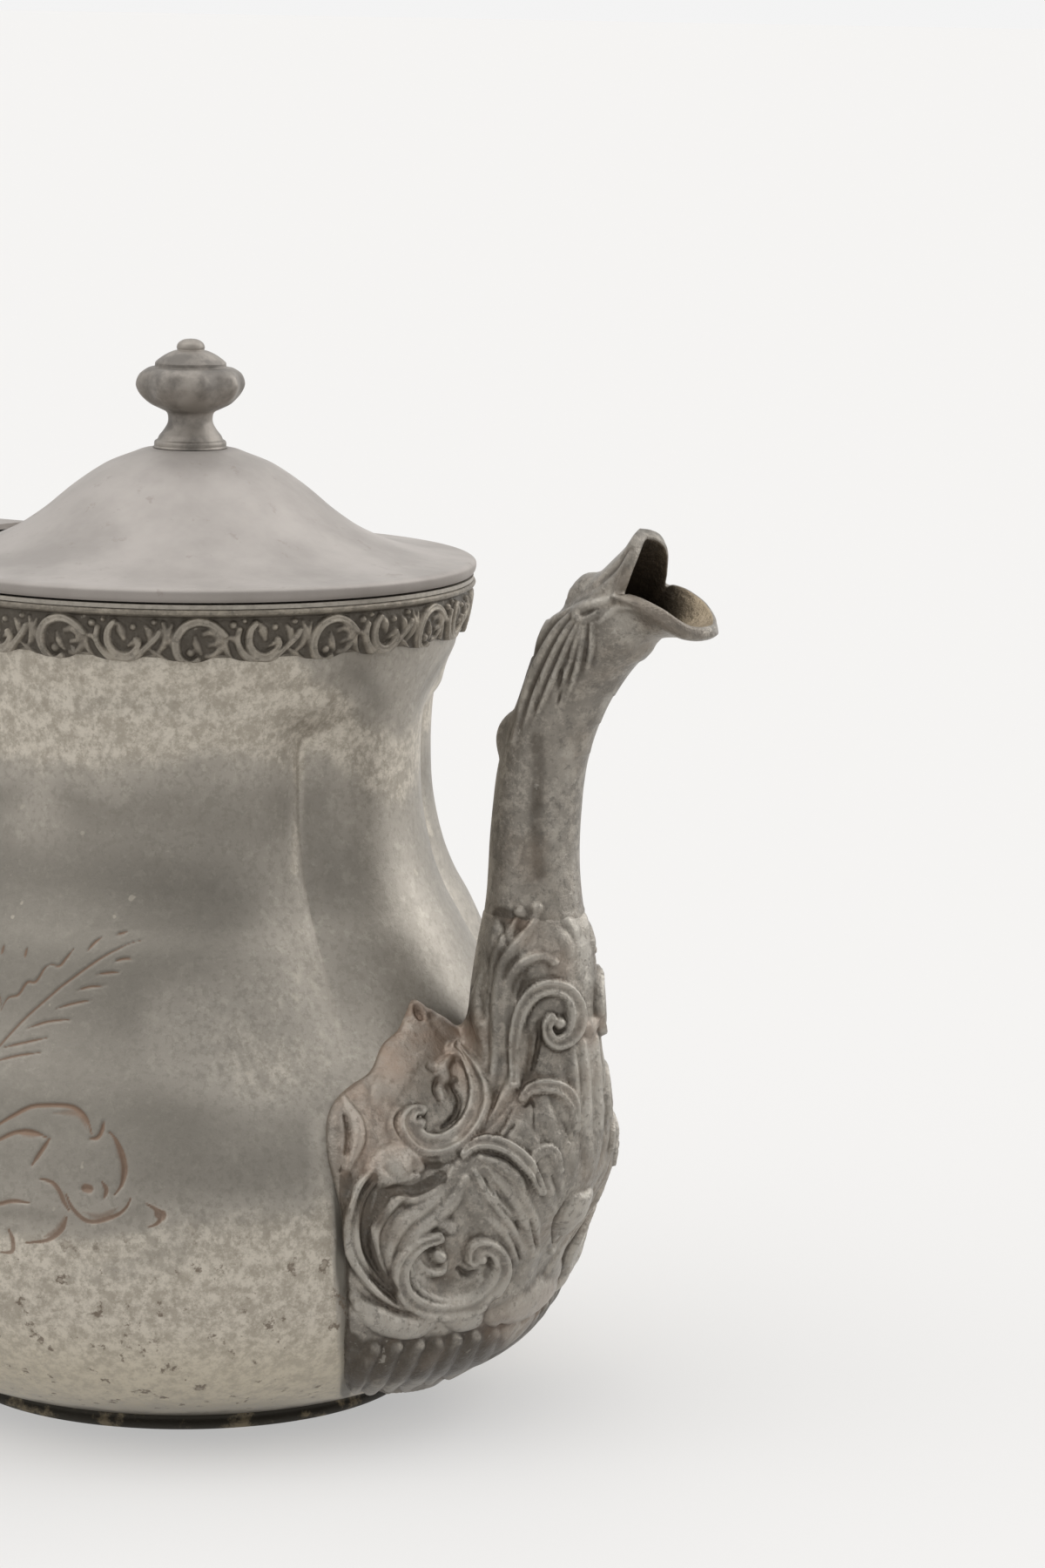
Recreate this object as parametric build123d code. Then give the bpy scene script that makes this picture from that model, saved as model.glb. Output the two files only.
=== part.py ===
from build123d import *
import os
from math import cos, hypot, pi, sin, sqrt

# Pewter teapot: a waisted, panelled pot with a cast spout, a scroll handle and a hinged lid.
# The spout points to +X, the handle to -X, and the pot stands on Z = 0. Sizes are millimetres.

# Body of raised sheet metal
foot_height = 3.2
foot_radius = 40.0
foot_width = 5.5
base_radius = 41.0
base_hole_radius = 37.0
belly_radius = 68.0
belly_height = 35.0
neck_radius = 42.6
throat_radius = 46.3
rim_height = 141.0
neck_height = rim_height * 0.766
throat_height = rim_height - 9.0
body_wall = 1.5
bowl_seam_drop = 6.0
neck_seam_rise = 27.0
bowl_seam_height = belly_height - bowl_seam_drop
neck_seam_height = belly_height + neck_seam_rise

# Four creases part the neck into two narrow panels and two wide ones
crease_angle = 30.0
crease_depth = 3.8
crease_low = rim_height * 0.426
crease_full = rim_height * 0.596
crease_top_full = throat_height - 19.0
crease_top = throat_height - 9.0

# Strainer punched through the body wall behind the spout
strainer_hole_radius = 1.6
strainer_pitch = 5.6
strainer_rows = 5
strainer_row_holes = 3
strainer_height = belly_height + 9.0

# Collar band round the neck, and the seat inside it that the lid drops onto
collar_depth = 9.6
collar_thickness = 3.0
collar_gap = 0.22
collar_motifs = 26
scallop_radius = 2.6
bezel_wall = 1.2
bezel_depth = 8.0
bezel_flange = 0.7
seam_gap = 0.3

# Lid
lid_radius = 49.2
lid_edge_height = 2.6
lid_wall = 1.2
lid_dome_height = 18.1
lid_skirt_depth = 4.0
lid_skirt_wall = 1.1
lid_skirt_clearance = 0.4

# Finial and its fixing
finial_height = 18.6
finial_foot_radius = 6.5
finial_button_radius = 9.3
finial_tip_radius = 2.6
finial_lobes = 8
stud_radius = 1.5
stud_depth = 9.0
nut_across = 6.0
nut_height = 2.6
washer_radius = 5.0
washer_height = 0.8

# Lid hinge
hinge_length = 24.0
hinge_knuckle_radius = 2.6
hinge_pin_radius = 1.2
hinge_running_clearance = 0.05
hinge_side_clearance = 0.3
hinge_leaf_thickness = 1.7
hinge_leaf_depth = 8.5
hinge_strap_reach = 6.0
hinge_strap_gap = 0.15
knuckle_count = 5

# Cast spout, in two halves that are soldered along the middle
spout_wall = 1.7
spout_neck_radius = 7.5
spout_flange_thickness = 1.8
spout_height = rim_height + 12.4
spout_reach = 101.8
spout_lip_width = 18.4
spout_lip_length = 10.8

# Handle, held by a bone insulator in a cast socket at each end
handle_reach = 101.8
handle_grip_width = 13.0
handle_grip_thickness = 10.0
upper_socket_height = neck_height + 10.0
lower_socket_height = belly_height + 17.0
upper_socket_tilt = 20.0
lower_socket_tilt = 16.0
socket_radius = 6.0
socket_length = 11.0
insulator_length = 4.0
insulator_overhang = 0.5
tenon_radius = 3.6
tenon_length = 6.5
tenon_clearance = 0.05
insulator_pin_radius = 0.8
pin_clearance = 0.02
solder_gap = 0.03


def smooth(share):
    """Eased step from 0 to 1."""
    share = min(1.0, max(0.0, share))
    return (1 - cos(pi * share)) / 2


def body_radius(z):
    """Radius of the body at a panel's middle: an elliptic bowl, a waist and a flared throat."""
    if z < belly_height:
        share = (belly_height - z) / (belly_height - foot_height)
        return base_radius + (belly_radius - base_radius) * sqrt(1 - share**2)
    if z < neck_height:
        share = (z - belly_height) / (neck_height - belly_height)
        return belly_radius - (belly_radius - neck_radius) * smooth(share)
    share = (z - neck_height) / (throat_height - neck_height)
    return neck_radius + (throat_radius - neck_radius) * smooth(share**1.6)


def groove(z):
    """Depth of the creases: none on the belly, full along the neck, none under the collar."""
    rise = smooth((z - crease_low) / (crease_full - crease_low))
    return crease_depth * rise * (1 - smooth((z - crease_top_full) / (crease_top - crease_top_full)))


def body_profile():
    """The body's outline as (radius, height), closer together where it bends more."""
    bowl = []
    for step in range(6):
        turn = pi / 2 * step / 6
        height = belly_height - (belly_height - foot_height) * cos(turn)
        bowl.append((base_radius + (belly_radius - base_radius) * sin(turn), height))
    waist = [belly_height + (crease_top - belly_height) * step / 16 for step in range(17)]
    throat = [crease_top + (body_top - crease_top) * step / 4 for step in range(1, 5)]
    return bowl + [(body_radius(z), z) for z in waist + throat]


def inset(points, distance):
    """Moves an open outline to its left-hand side by a distance."""
    moved = []
    for here, (x, z) in enumerate(points):
        before, after = points[max(0, here - 1)], points[min(len(points) - 1, here + 1)]
        along = (after[0] - before[0], after[1] - before[1])
        length = hypot(*along)
        moved.append((x - along[1] / length * distance, z + along[0] / length * distance))
    return moved


def polar(radius, degrees, z):
    """A point at an angle round the pot."""
    return Vector(radius, 0, z).rotate(Axis.Z, degrees)


def lobed_section(radius, z, depth):
    """Level outline of four arcs that meet in the creases."""
    corners = [crease_angle, 180 - crease_angle, 180 + crease_angle, 360 - crease_angle]
    middles = [90, 180, 270, 360]
    arcs = []
    for number in range(4):
        start = polar(radius - depth, corners[number], z)
        end = polar(radius - depth, corners[(number + 1) % 4], z)
        arcs.append(ThreePointArc(start, polar(radius, middles[number], z), end))
    return Wire(arcs)


def lobed_body(points):
    """Solid through level outlines."""
    return Solid.make_loft([lobed_section(r, z, groove(z)) for r, z in points])


def turned(*lines):
    """Solid of revolution about Z of lines drawn as (radius, height)."""
    return revolve(Plane.XZ * make_face(list(lines)), Axis.Z, 360)


def turned_box(inner, outer, low, high):
    """Plain ring between two radii and two heights."""
    return turned(Polyline((inner, low), (outer, low), (outer, high), (inner, high), close=True))


def level_cylinder(radius, y_low, y_high, x, z):
    """Cylinder along Y."""
    middle = Pos(x, (y_low + y_high) / 2, z) * Rot(X=90)
    return middle * Cylinder(radius, y_high - y_low)


# Heights and radii that several pieces share
body_top = rim_height - seam_gap / 2 - bezel_flange
rim_top = rim_height - seam_gap / 2
lid_bottom = rim_height + seam_gap / 2
collar_radius = throat_radius + collar_thickness
bezel_outer = throat_radius - body_wall - 2 * solder_gap
bezel_inner = bezel_outer - bezel_wall
lid_skirt_outer = bezel_inner - lid_skirt_clearance
hinge_x = -(lid_radius + hinge_knuckle_radius + 2 * hinge_side_clearance)
lid_top = rim_height + lid_dome_height + 2.8


def make_envelope():
    """The body as a filled form, to which the soldered pieces are fitted."""
    return lobed_body(body_profile())


def make_body(envelope):
    """Bowl with the base hole, belly with the strainer and panelled neck, soldered edge to edge."""
    outline = body_profile()
    lining = inset(outline, body_wall)
    lining.append((lining[-1][0], rim_height + body_wall))
    shell = envelope - lobed_body(lining)
    block = Pos(0, 0, rim_height) * Box(*[2 * rim_height] * 3)
    bowl = shell - Pos(0, 0, bowl_seam_height) * block
    belly = shell & (Pos(0, 0, bowl_seam_height + solder_gap) * block)
    belly -= Pos(0, 0, neck_seam_height) * block
    neck = shell & (Pos(0, 0, neck_seam_height + solder_gap) * block)
    bowl -= Pos(0, 0, foot_height) * Cylinder(base_hole_radius, 4 * body_wall)
    for row in range(strainer_rows):
        lift = (row - (strainer_rows - 1) / 2) * strainer_pitch * sqrt(3) / 2
        across = strainer_row_holes - row % 2
        for column in range(across):
            side = (column - (across - 1) / 2) * strainer_pitch
            drill = Pos(belly_radius, side, strainer_height + lift) * Rot(Y=90)
            belly -= drill * Cylinder(strainer_hole_radius, belly_radius / 2)
    return bowl, belly, neck


def make_base_plate():
    """Flat disc let into the bottom."""
    height = body_wall
    return Pos(0, 0, foot_height + height / 2) * Cylinder(base_hole_radius - solder_gap, height)


def make_foot_ring():
    """Low moulded ring that the pot stands on."""
    inner = foot_radius - foot_width
    outer_edge = foot_radius + 0.4
    return turned(
        Polyline((outer_edge, 0.9), (foot_radius, 0), (inner, 0), (inner, foot_height)),
        Line((inner, foot_height), (foot_radius - 0.4, foot_height)),
        ThreePointArc((foot_radius - 0.4, foot_height), (foot_radius - 0.2, 2.1), (outer_edge, 0.9)),
    )


def collar_outline():
    """Convex face of the collar, as lines from its lower edge to its top bead."""
    low = rim_height - collar_depth
    shoulder = (collar_radius, rim_height - 3.4)
    foot = (throat_radius + 0.9, low)
    middle = (collar_radius - 0.7, low + collar_depth * 0.42)
    bead_low = rim_top - bezel_flange - 1.3
    return [
        ThreePointArc(foot, middle, shoulder),
        Line(shoulder, (collar_radius - 0.3, bead_low)),
        ThreePointArc(
            (collar_radius - 0.3, bead_low), (collar_radius, bead_low + 0.65), (collar_radius - 0.3, body_top)
        ),
    ]


def make_collar():
    """Applied band with a scalloped lower edge."""
    low = rim_height - collar_depth
    inner = throat_radius + collar_gap
    band = turned(
        *collar_outline(),
        Polyline((collar_radius - 0.3, body_top), (inner, body_top), (inner, low), (throat_radius + 0.9, low)),
    )
    scallop = Pos(collar_radius, 0, low - scallop_radius * 0.45) * Rot(Y=90)
    scallop *= Cylinder(scallop_radius, 4 * collar_thickness)
    for number in range(collar_motifs):
        band -= Rot(Z=360 * (number + 0.5) / collar_motifs) * scallop
    return band


def make_rim_bezel():
    """Ring inside the neck whose flange covers the tops of the body and the collar."""
    low = body_top - bezel_depth
    return turned(
        Polyline(
            (bezel_inner, low),
            (bezel_outer, low),
            (bezel_outer, body_top),
            (collar_radius - 0.5, body_top),
            (collar_radius - 0.5, rim_top),
            (bezel_inner, rim_top),
            close=True,
        )
    )


def lid_curve():
    """Ogee of the lid from the flat under the finial out to the rolled edge."""
    edge_top = lid_bottom + lid_edge_height
    shares = [(0.19, 0.955), (0.33, 0.79), (0.415, 0.63), (0.49, 0.47), (0.6, 0.30), (0.74, 0.13), (0.9, 0.03)]
    rise = lid_top - edge_top
    bends = [(lid_radius * across, edge_top + rise * up) for across, up in shares]
    return [(finial_foot_radius, lid_top)] + bends + [(lid_radius - 1.6, edge_top)]


def lid_roll():
    """Rolled edge of the lid, from the end of its ogee down to the seam."""
    start = lid_curve()[-1]
    middle = (lid_radius, (start[1] + lid_bottom) / 2 + 0.2)
    return ThreePointArc(start, middle, (lid_radius - 1.0, lid_bottom))


def make_lid():
    """Thin domed lid with a rolled edge."""
    curve = lid_curve()
    under = inset(curve, -lid_wall)
    hole = stud_radius + hinge_running_clearance
    inner_edge = (under[-1][0] - lid_wall, lid_bottom)
    return turned(
        Spline(*curve),
        lid_roll(),
        Line((lid_radius - 1.0, lid_bottom), inner_edge),
        Line(inner_edge, under[-1]),
        Spline(*reversed(under)),
        Polyline(under[0], (hole, under[0][1]), (hole, lid_top), curve[0]),
    )


def lid_room():
    """Everything above the underside of the lid."""
    under = inset(lid_curve(), -lid_wall)
    ceiling = lid_top + lid_dome_height
    return turned(
        Spline(*under),
        Polyline(under[-1], (under[-1][0], ceiling), (0, ceiling), (0, under[0][1]), under[0]),
    )


def make_lid_skirt():
    """Upright ring under the lid that steadies it in the rim."""
    ring = turned_box(lid_skirt_outer - lid_skirt_wall, lid_skirt_outer, rim_height - lid_skirt_depth, lid_top)
    return ring - lid_room()


def make_finial():
    """Turned and lobed knob with a blind hole for its stud."""
    base = lid_top
    button = base + finial_height * 0.61
    waist = finial_button_radius * 0.4
    tip = base + finial_height
    knob = turned(
        Line((0, base), (finial_foot_radius, base)),
        Line((finial_foot_radius, base), (finial_foot_radius * 0.93, base + 1.3)),
        Spline(
            (finial_foot_radius * 0.93, base + 1.3),
            (waist, base + finial_height * 0.26),
            (waist * 1.12, base + finial_height * 0.36),
            tangents=[(-1, 0.25), (0.2, 1)],
        ),
        Spline(
            (waist * 1.12, base + finial_height * 0.36),
            (finial_button_radius * 0.78, base + finial_height * 0.48),
            (finial_button_radius, button),
            (finial_button_radius * 0.82, base + finial_height * 0.74),
            (finial_button_radius * 0.5, base + finial_height * 0.83),
        ),
        Polyline(
            (finial_button_radius * 0.5, base + finial_height * 0.83),
            (finial_button_radius * 0.5, base + finial_height * 0.88),
            (finial_tip_radius, base + finial_height * 0.88),
        ),
        ThreePointArc(
            (finial_tip_radius, base + finial_height * 0.88),
            (finial_tip_radius * 0.76, tip - 0.6),
            (finial_tip_radius * 0.2, tip),
        ),
        Polyline((finial_tip_radius * 0.2, tip), (0, tip), (0, base)),
    )
    flute = Pos(finial_button_radius * 1.16, 0, button) * Cylinder(finial_button_radius * 0.27, finial_height * 0.3)
    for number in range(finial_lobes):
        knob -= Rot(Z=360 * (number + 0.5) / finial_lobes) * flute
    hole = stud_radius + pin_clearance
    return knob - Pos(0, 0, base + stud_depth / 2) * Cylinder(hole, stud_depth)


def make_finial_fixing():
    """Stud, washer and nut that hold the finial from inside the lid."""
    under = lid_top - lid_wall
    nut_low = under - washer_height - nut_height
    stud_low = nut_low - 1.2
    stud_high = lid_top + stud_depth - 0.3
    stud = Pos(0, 0, (stud_low + stud_high) / 2) * Cylinder(stud_radius, stud_high - stud_low)
    bore = Pos(0, 0, under) * Cylinder(stud_radius + pin_clearance, 20)
    washer = Pos(0, 0, under - washer_height / 2) * Cylinder(washer_radius, washer_height) - bore
    hexagon = Pos(0, 0, nut_low) * RegularPolygon(nut_across / 2, 6, major_radius=False)
    return stud, washer, extrude(hexagon, nut_height) - bore


def knuckle_spans():
    """Start and end of each hinge knuckle along Y."""
    pitch = hinge_length / knuckle_count
    spans = []
    for number in range(knuckle_count):
        start = -hinge_length / 2 + number * pitch
        spans.append((start + hinge_side_clearance / 2, start + pitch - hinge_side_clearance / 2))
    return spans


def make_hinge():
    """Body leaf, lid leaf and the pin that both turn on."""
    spans = knuckle_spans()
    half = hinge_length / 2
    end = 1.1 * half
    bore = level_cylinder(hinge_pin_radius + hinge_running_clearance, -end, end, hinge_x, rim_height)
    slot_radius = hinge_knuckle_radius + hinge_side_clearance
    behind = Pos(hinge_x, 0, rim_height) * Box(lid_radius, hinge_length - hinge_side_clearance, lid_radius)

    leaf_low = rim_height - hinge_leaf_depth
    wrap = collar_radius + solder_gap
    body_leaf = turned_box(wrap, wrap + hinge_leaf_thickness, leaf_low, rim_height - seam_gap) & behind
    strap_low = lid_bottom + hinge_strap_gap
    strap_high = lid_bottom + lid_edge_height + hinge_leaf_thickness
    strap_inner = lid_radius - hinge_strap_reach
    lid_leaf = turned_box(strap_inner, -hinge_x, strap_low, strap_high) & behind
    lid_leaf -= lid_room_outside()
    for number, (start, end) in enumerate(spans):
        knuckle = level_cylinder(hinge_knuckle_radius, start, end, hinge_x, rim_height)
        slot = level_cylinder(slot_radius, start - hinge_side_clearance, end + hinge_side_clearance, hinge_x, rim_height)
        if number % 2 == 0:
            lid_leaf -= slot
            body_leaf += knuckle
        else:
            body_leaf -= slot
            lid_leaf += knuckle
    pin = level_cylinder(hinge_pin_radius, -half, half, hinge_x, rim_height)
    return body_leaf - bore, lid_leaf - bore, pin


def lid_room_outside():
    """The filled lid, to which its hinge leaf is fitted."""
    curve = lid_curve()
    return turned(
        Spline(*curve),
        lid_roll(),
        Polyline((lid_radius - 1.0, lid_bottom), (0, lid_bottom), (0, lid_top), curve[0]),
    )


def spout_scale():
    """Size of the spout beside its drawing, which is 153.4 mm high."""
    return spout_height / 153.4


def spout_stations():
    """Sections of the spout as (back point, front point, half width), points being (x, z).

    The low ones are level and lie partly inside the body, then they lean forward into the mouth.
    They are drawn with x counted from the belly and widths counted in radii of the neck.
    """
    drawn = [
        ((-24.0, 7.0), (-12.5, 7.0), 1.2),
        ((-24.0, 15.0), (-4.0, 15.0), 2.67),
        ((-22.0, 25.0), (3.8, 25.0), 3.33),
        ((-20.0, 36.0), (9.3, 36.0), 3.6),
        ((-19.0, 48.0), (12.3, 48.0), 3.4),
        ((-16.0, 59.0), (12.4, 59.0), 2.6),
        ((-10.5, 70.0), (12.2, 70.0), 1.68),
        ((-8.4, 83.0), (10.8, 83.0), 1.31),
        ((-6.7, 97.0), (8.3, 97.0), 1.0),
        ((-5.7, 110.0), (9.3, 109.6), 1.0),
        ((-2.4, 121.0), (12.3, 119.0), 1.0),
        ((1.2, 132.4), (16.6, 128.6), 1.07),
        ((7.3, 140.6), (21.2, 133.4), 1.11),
        ((13.6, 147.2), (25.6, 135.8), 1.13),
        ((20.4, 153.4), (30.2, 136.6), 1.17),
        ((26.5, 158.0), (35.4, 138.0), 1.2),
    ]
    scale = spout_scale()
    stations = []
    for back, front, width in drawn:
        points = [(belly_radius + scale * x, scale * z) for x, z in (back, front)]
        stations.append((*points, spout_neck_radius * width))
    return stations


def half_loft(stations, wall):
    """Half of a tube on the +Y side through sections that are drawn in by a wall."""
    sections = []
    for back, front, half_width in stations:
        middle = ((back[0] + front[0]) / 2, (back[1] + front[1]) / 2)
        reach = (middle[0] - back[0], middle[1] - back[1])
        depth = hypot(*reach)
        shrink = (depth - wall) / depth
        points = []
        for step in range(7):
            turn = pi * step / 6
            shift = -cos(turn) * shrink
            side = (half_width - wall) * sin(turn)
            points.append((middle[0] + reach[0] * shift, side, middle[1] + reach[1] * shift))
        arch = Spline(*points, tangents=[(0, 1, 0), (0, -1, 0)])
        sections.append(Wire([arch, Line(points[-1], points[0])]))
    return Solid.make_loft(sections)


def make_mouth_cutters():
    """Forms that open the beak in front of the hood and round the pouring lip."""
    scale = spout_scale()
    notch = (belly_radius + 20.3 * scale, spout_height - 9.8 * scale)
    tip = (spout_reach, spout_height - 14.2 * scale)
    hood_top = (belly_radius + 20.4 * scale, spout_height + 0.2 * scale)
    lip_low = (2 * spout_reach, tip[1] - 3 * scale)
    high = 2 * spout_height
    hood = Spline(notch, (notch[0] + 1.1 * scale, notch[1] + 6 * scale), hood_top)
    lip = Spline(lip_low, tip, (spout_reach - 5.7 * scale, notch[1] - 1.7 * scale), notch)
    roof = Polyline(hood_top, (hood_top[0], high), (lip_low[0], high), lip_low)
    opening = Plane.XZ * make_face([hood, roof, lip])
    mouth = extrude(opening, spout_reach, both=True)
    centre = spout_reach - spout_lip_length
    plan = Pos(centre, 0, 0) * Ellipse(spout_lip_length, spout_lip_width / 2)
    beyond = Pos(centre + spout_reach / 2, 0, 0) * Rectangle(spout_reach, 2 * spout_reach)
    return mouth, extrude(beyond - plan, high, both=True)


def flange_outline():
    """Half outline of the cast flange on the body, as seen along X: two ears over a wide shield."""
    return [
        (0, 64.5),
        (6.0, 69.5),
        (11.5, 73.4),
        (15.5, 71.0),
        (21.0, 68.0),
        (28.0, 63.5),
        (34.5, 57.0),
        (38.0, 46.0),
        (38.4, 34.0),
        (35.5, 21.0),
        (27.0, 10.5),
        (12.0, 7.6),
        (0, 7.0),
    ]


def make_spout_half(envelope):
    """One cast half on the +Y side, with its share of the flange, channel and mouth."""
    stations = spout_stations()
    skin = half_loft(stations, 0)
    channel = half_loft(stations, spout_wall)
    scale = spout_scale()
    outline = [(scale * side, scale * z) for side, z in flange_outline()]
    face = make_face([Spline(*outline), Line(outline[-1], outline[0])])
    shield = extrude(Plane.YZ * face, belly_radius * 2)
    wrap = lobed_body(inset(body_profile(), -spout_flange_thickness))
    mouth, beyond = make_mouth_cutters()
    return (skin + (shield & wrap)) - channel - envelope - mouth - beyond


def socket_frame(height, tilt):
    """Plane on the body's handle side whose Z points out of the pot."""
    outward = Vector(-cos(tilt * pi / 180), 0, sin(tilt * pi / 180))
    return Plane(origin=(-body_radius(height), 0, height), x_dir=(0, 1, 0), z_dir=outward)


def make_socket_set(height, tilt, envelope):
    """Socket, insulator and cross pins of one end of the handle, with the bore that the handle needs."""
    frame = socket_frame(height, tilt)
    far_end = socket_length + insulator_length
    bore_radius = tenon_radius + tenon_clearance
    bore_depth = tenon_length + 0.5
    root = 8.0
    cone = Cone(socket_radius * 1.25, socket_radius, socket_length + root)
    socket = frame * Pos(0, 0, (socket_length - root) / 2) * cone
    socket -= frame * Pos(0, 0, socket_length - bore_depth / 2) * Cylinder(bore_radius, bore_depth)
    socket -= envelope
    disc = Pos(0, 0, socket_length + insulator_length / 2) * Cylinder(
        socket_radius + insulator_overhang, insulator_length
    )
    tenon = Pos(0, 0, socket_length + insulator_length / 2) * Cylinder(
        tenon_radius, insulator_length + 2 * tenon_length
    )
    insulator = frame * (disc + tenon)
    pins, holes = [], []
    for along in (socket_length - tenon_length / 2, far_end + tenon_length / 2):
        across = frame * Pos(0, 0, along) * Rot(Y=90)
        pins.append(across * Cylinder(insulator_pin_radius, 2 * socket_radius))
        holes.append(across * Cylinder(insulator_pin_radius + pin_clearance, 6 * socket_radius))
    handle_cut = frame * Pos(0, 0, far_end + bore_depth / 2) * Cylinder(bore_radius, bore_depth)
    for hole in holes:
        socket -= hole
        insulator -= hole
    return socket, insulator, Compound(children=pins), handle_cut + holes[1]


def tapered_sweep(path, sizes):
    """Loft of ellipses along a path, sizes being (half width along Y, half thickness)."""
    sections = []
    for number, (width, thickness) in enumerate(sizes):
        share = number / (len(sizes) - 1)
        frame = Plane(origin=path @ share, x_dir=(0, 1, 0), z_dir=path % share)
        sections.append((frame * Ellipse(width, thickness)).wire())
    return Solid.make_loft(sections)


def scroll(path, share, side, drawn):
    """Tapered curl that grows out of the handle.

    Its points are drawn as (way along the handle, way out of it), in half widths of the grip.
    """
    root = path @ share
    along = path % share
    out = Vector(-along.Z, 0, along.X) * side
    half_width = handle_grip_width / 2
    points = [root + (along * a + out * o) * half_width for a, o in drawn]
    curl = Spline(*points)
    tips = [(0.75 - 0.35 * step / 5, 0.52 - 0.25 * step / 5) for step in range(6)]
    return tapered_sweep(curl, [(width * half_width, depth * half_width) for width, depth in tips])


def make_handle(cuts):
    """Scroll handle with a leaf thumb rest at the top and a spur at the foot."""
    upper = socket_frame(upper_socket_height, upper_socket_tilt)
    lower = socket_frame(lower_socket_height, lower_socket_tilt)
    start_out = socket_length + insulator_length
    start = upper.origin + upper.z_dir * start_out
    end = lower.origin + lower.z_dir * start_out
    above = start + upper.z_dir * 4 * socket_radius
    below = end + lower.z_dir * 3 * socket_radius
    span = start.Z - end.Z
    outer_x = -(handle_reach - handle_grip_thickness / 2)
    bow = (32 * outer_x - start.X - end.X - 5 * (above.X + below.X)) / 20
    path = Bezier(
        start,
        above,
        (bow, 0, start.Z + 0.15 * span),
        (bow, 0, end.Z + 0.05 * span),
        below,
        end,
    )
    end_size = (socket_radius + 0.01, socket_radius)
    grip = (handle_grip_width / 2, handle_grip_thickness / 2)
    neck = (socket_radius * 0.95, socket_radius * 0.86)
    sizes = [end_size, end_size, neck, grip, grip, grip, grip, grip, neck, end_size, end_size]
    handle = tapered_sweep(path, sizes)
    handle += scroll(path, 0.24, 1, [(-0.6, 0), (0.75, 0.9), (1.3, 1.85), (0.85, 2.45), (0.3, 2.1)])
    handle += scroll(path, 0.78, 1, [(-0.4, -0.2), (1.1, 0.5), (2.35, 0.2), (2.7, -0.6)])
    for cut in cuts:
        handle -= cut
    return handle


def write(name, shape):
    """Exports one sub-part."""
    export_step(shape, f"parts/{name}.step")


def main():
    """Builds every sub-part and writes it to its own file."""
    os.makedirs("parts", exist_ok=True)
    envelope = make_envelope()
    bowl, belly, neck = make_body(envelope)
    write("body_bowl", bowl)
    write("body_belly", belly)
    write("body_neck", neck)
    write("base_plate", make_base_plate())
    write("foot_ring", make_foot_ring())
    write("collar_band", make_collar())
    write("rim_bezel", make_rim_bezel())
    write("lid_shell", make_lid())
    write("lid_skirt", make_lid_skirt())
    write("finial_knob", make_finial())
    stud, washer, nut = make_finial_fixing()
    write("finial_stud", stud)
    write("finial_washer", washer)
    write("finial_nut", nut)
    body_leaf, lid_leaf, pin = make_hinge()
    write("hinge_body_leaf", body_leaf)
    write("hinge_lid_leaf", lid_leaf)
    write("hinge_pin", pin)
    spout_half = make_spout_half(envelope)
    write("spout_left_half", spout_half)
    write("spout_right_half", mirror(spout_half, about=Plane.XZ))
    upper = make_socket_set(upper_socket_height, upper_socket_tilt, envelope)
    lower = make_socket_set(lower_socket_height, lower_socket_tilt, envelope)
    for place, (socket, insulator, pins, cut) in {"upper": upper, "lower": lower}.items():
        write(f"handle_{place}_socket", socket)
        write(f"handle_{place}_insulator", insulator)
        write(f"handle_{place}_pins", pins)
    write("handle_grip", make_handle([upper[3], lower[3]]))


main()
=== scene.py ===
import itertools
import math

import bpy
import numpy as np
from mathutils import Matrix, Vector


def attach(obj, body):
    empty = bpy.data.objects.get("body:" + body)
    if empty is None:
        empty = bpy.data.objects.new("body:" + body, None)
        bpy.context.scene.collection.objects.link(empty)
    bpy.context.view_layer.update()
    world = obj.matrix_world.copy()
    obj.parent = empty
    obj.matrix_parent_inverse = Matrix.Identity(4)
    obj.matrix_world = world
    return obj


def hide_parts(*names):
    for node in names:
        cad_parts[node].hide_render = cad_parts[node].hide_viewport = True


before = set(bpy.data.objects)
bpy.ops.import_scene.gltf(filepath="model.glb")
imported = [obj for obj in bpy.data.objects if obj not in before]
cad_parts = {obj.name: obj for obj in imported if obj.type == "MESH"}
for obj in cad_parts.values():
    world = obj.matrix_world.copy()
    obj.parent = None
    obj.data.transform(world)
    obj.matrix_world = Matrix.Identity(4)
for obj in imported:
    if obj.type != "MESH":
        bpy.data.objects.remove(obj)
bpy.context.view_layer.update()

# The pieces are drawn in millimetres in the row frame, and make_mesh turns them to metres.
MM = 0.001
BODY_FOOT = 3.2
BODY_TOP = 140.1
BODY_WALL = 1.5
BASE_TOP = 4.7
BASE_RADIUS = 37.0

# Camera: it stands on the near side, a little higher than the pot, and looks slightly down
FOCAL_PIXELS = 5500.0
PICTURE_CENTRE = (600.0, 900.0)
SPOUT_AZIMUTH = math.radians(56.5)
CAMERA_DISTANCE = 820.0
CAMERA_HEIGHT = 237.9
CAMERA_YAW = math.radians(4.041)
CAMERA_PITCH = math.radians(9.26)
CAMERA_ROLL = math.radians(0.94)


def camera_axes():
    """Right, up and forward of the camera in the row frame."""
    sy, cy = math.sin(CAMERA_YAW), math.cos(CAMERA_YAW)
    sp, cp = math.sin(CAMERA_PITCH), math.cos(CAMERA_PITCH)
    sr, cr = math.sin(CAMERA_ROLL), math.cos(CAMERA_ROLL)
    forward = np.array([sy * cp, cy * cp, -sp])
    level = np.array([cy, -sy, 0.0])
    upright = np.cross(level, forward)
    axes = np.array([cr * level + sr * upright, cr * upright - sr * level, forward])
    s, c = math.sin(SPOUT_AZIMUTH), math.cos(SPOUT_AZIMUTH)
    return np.stack([axes[:, 0] * s - axes[:, 1] * c, axes[:, 0] * c + axes[:, 1] * s, axes[:, 2]], 1)


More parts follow.
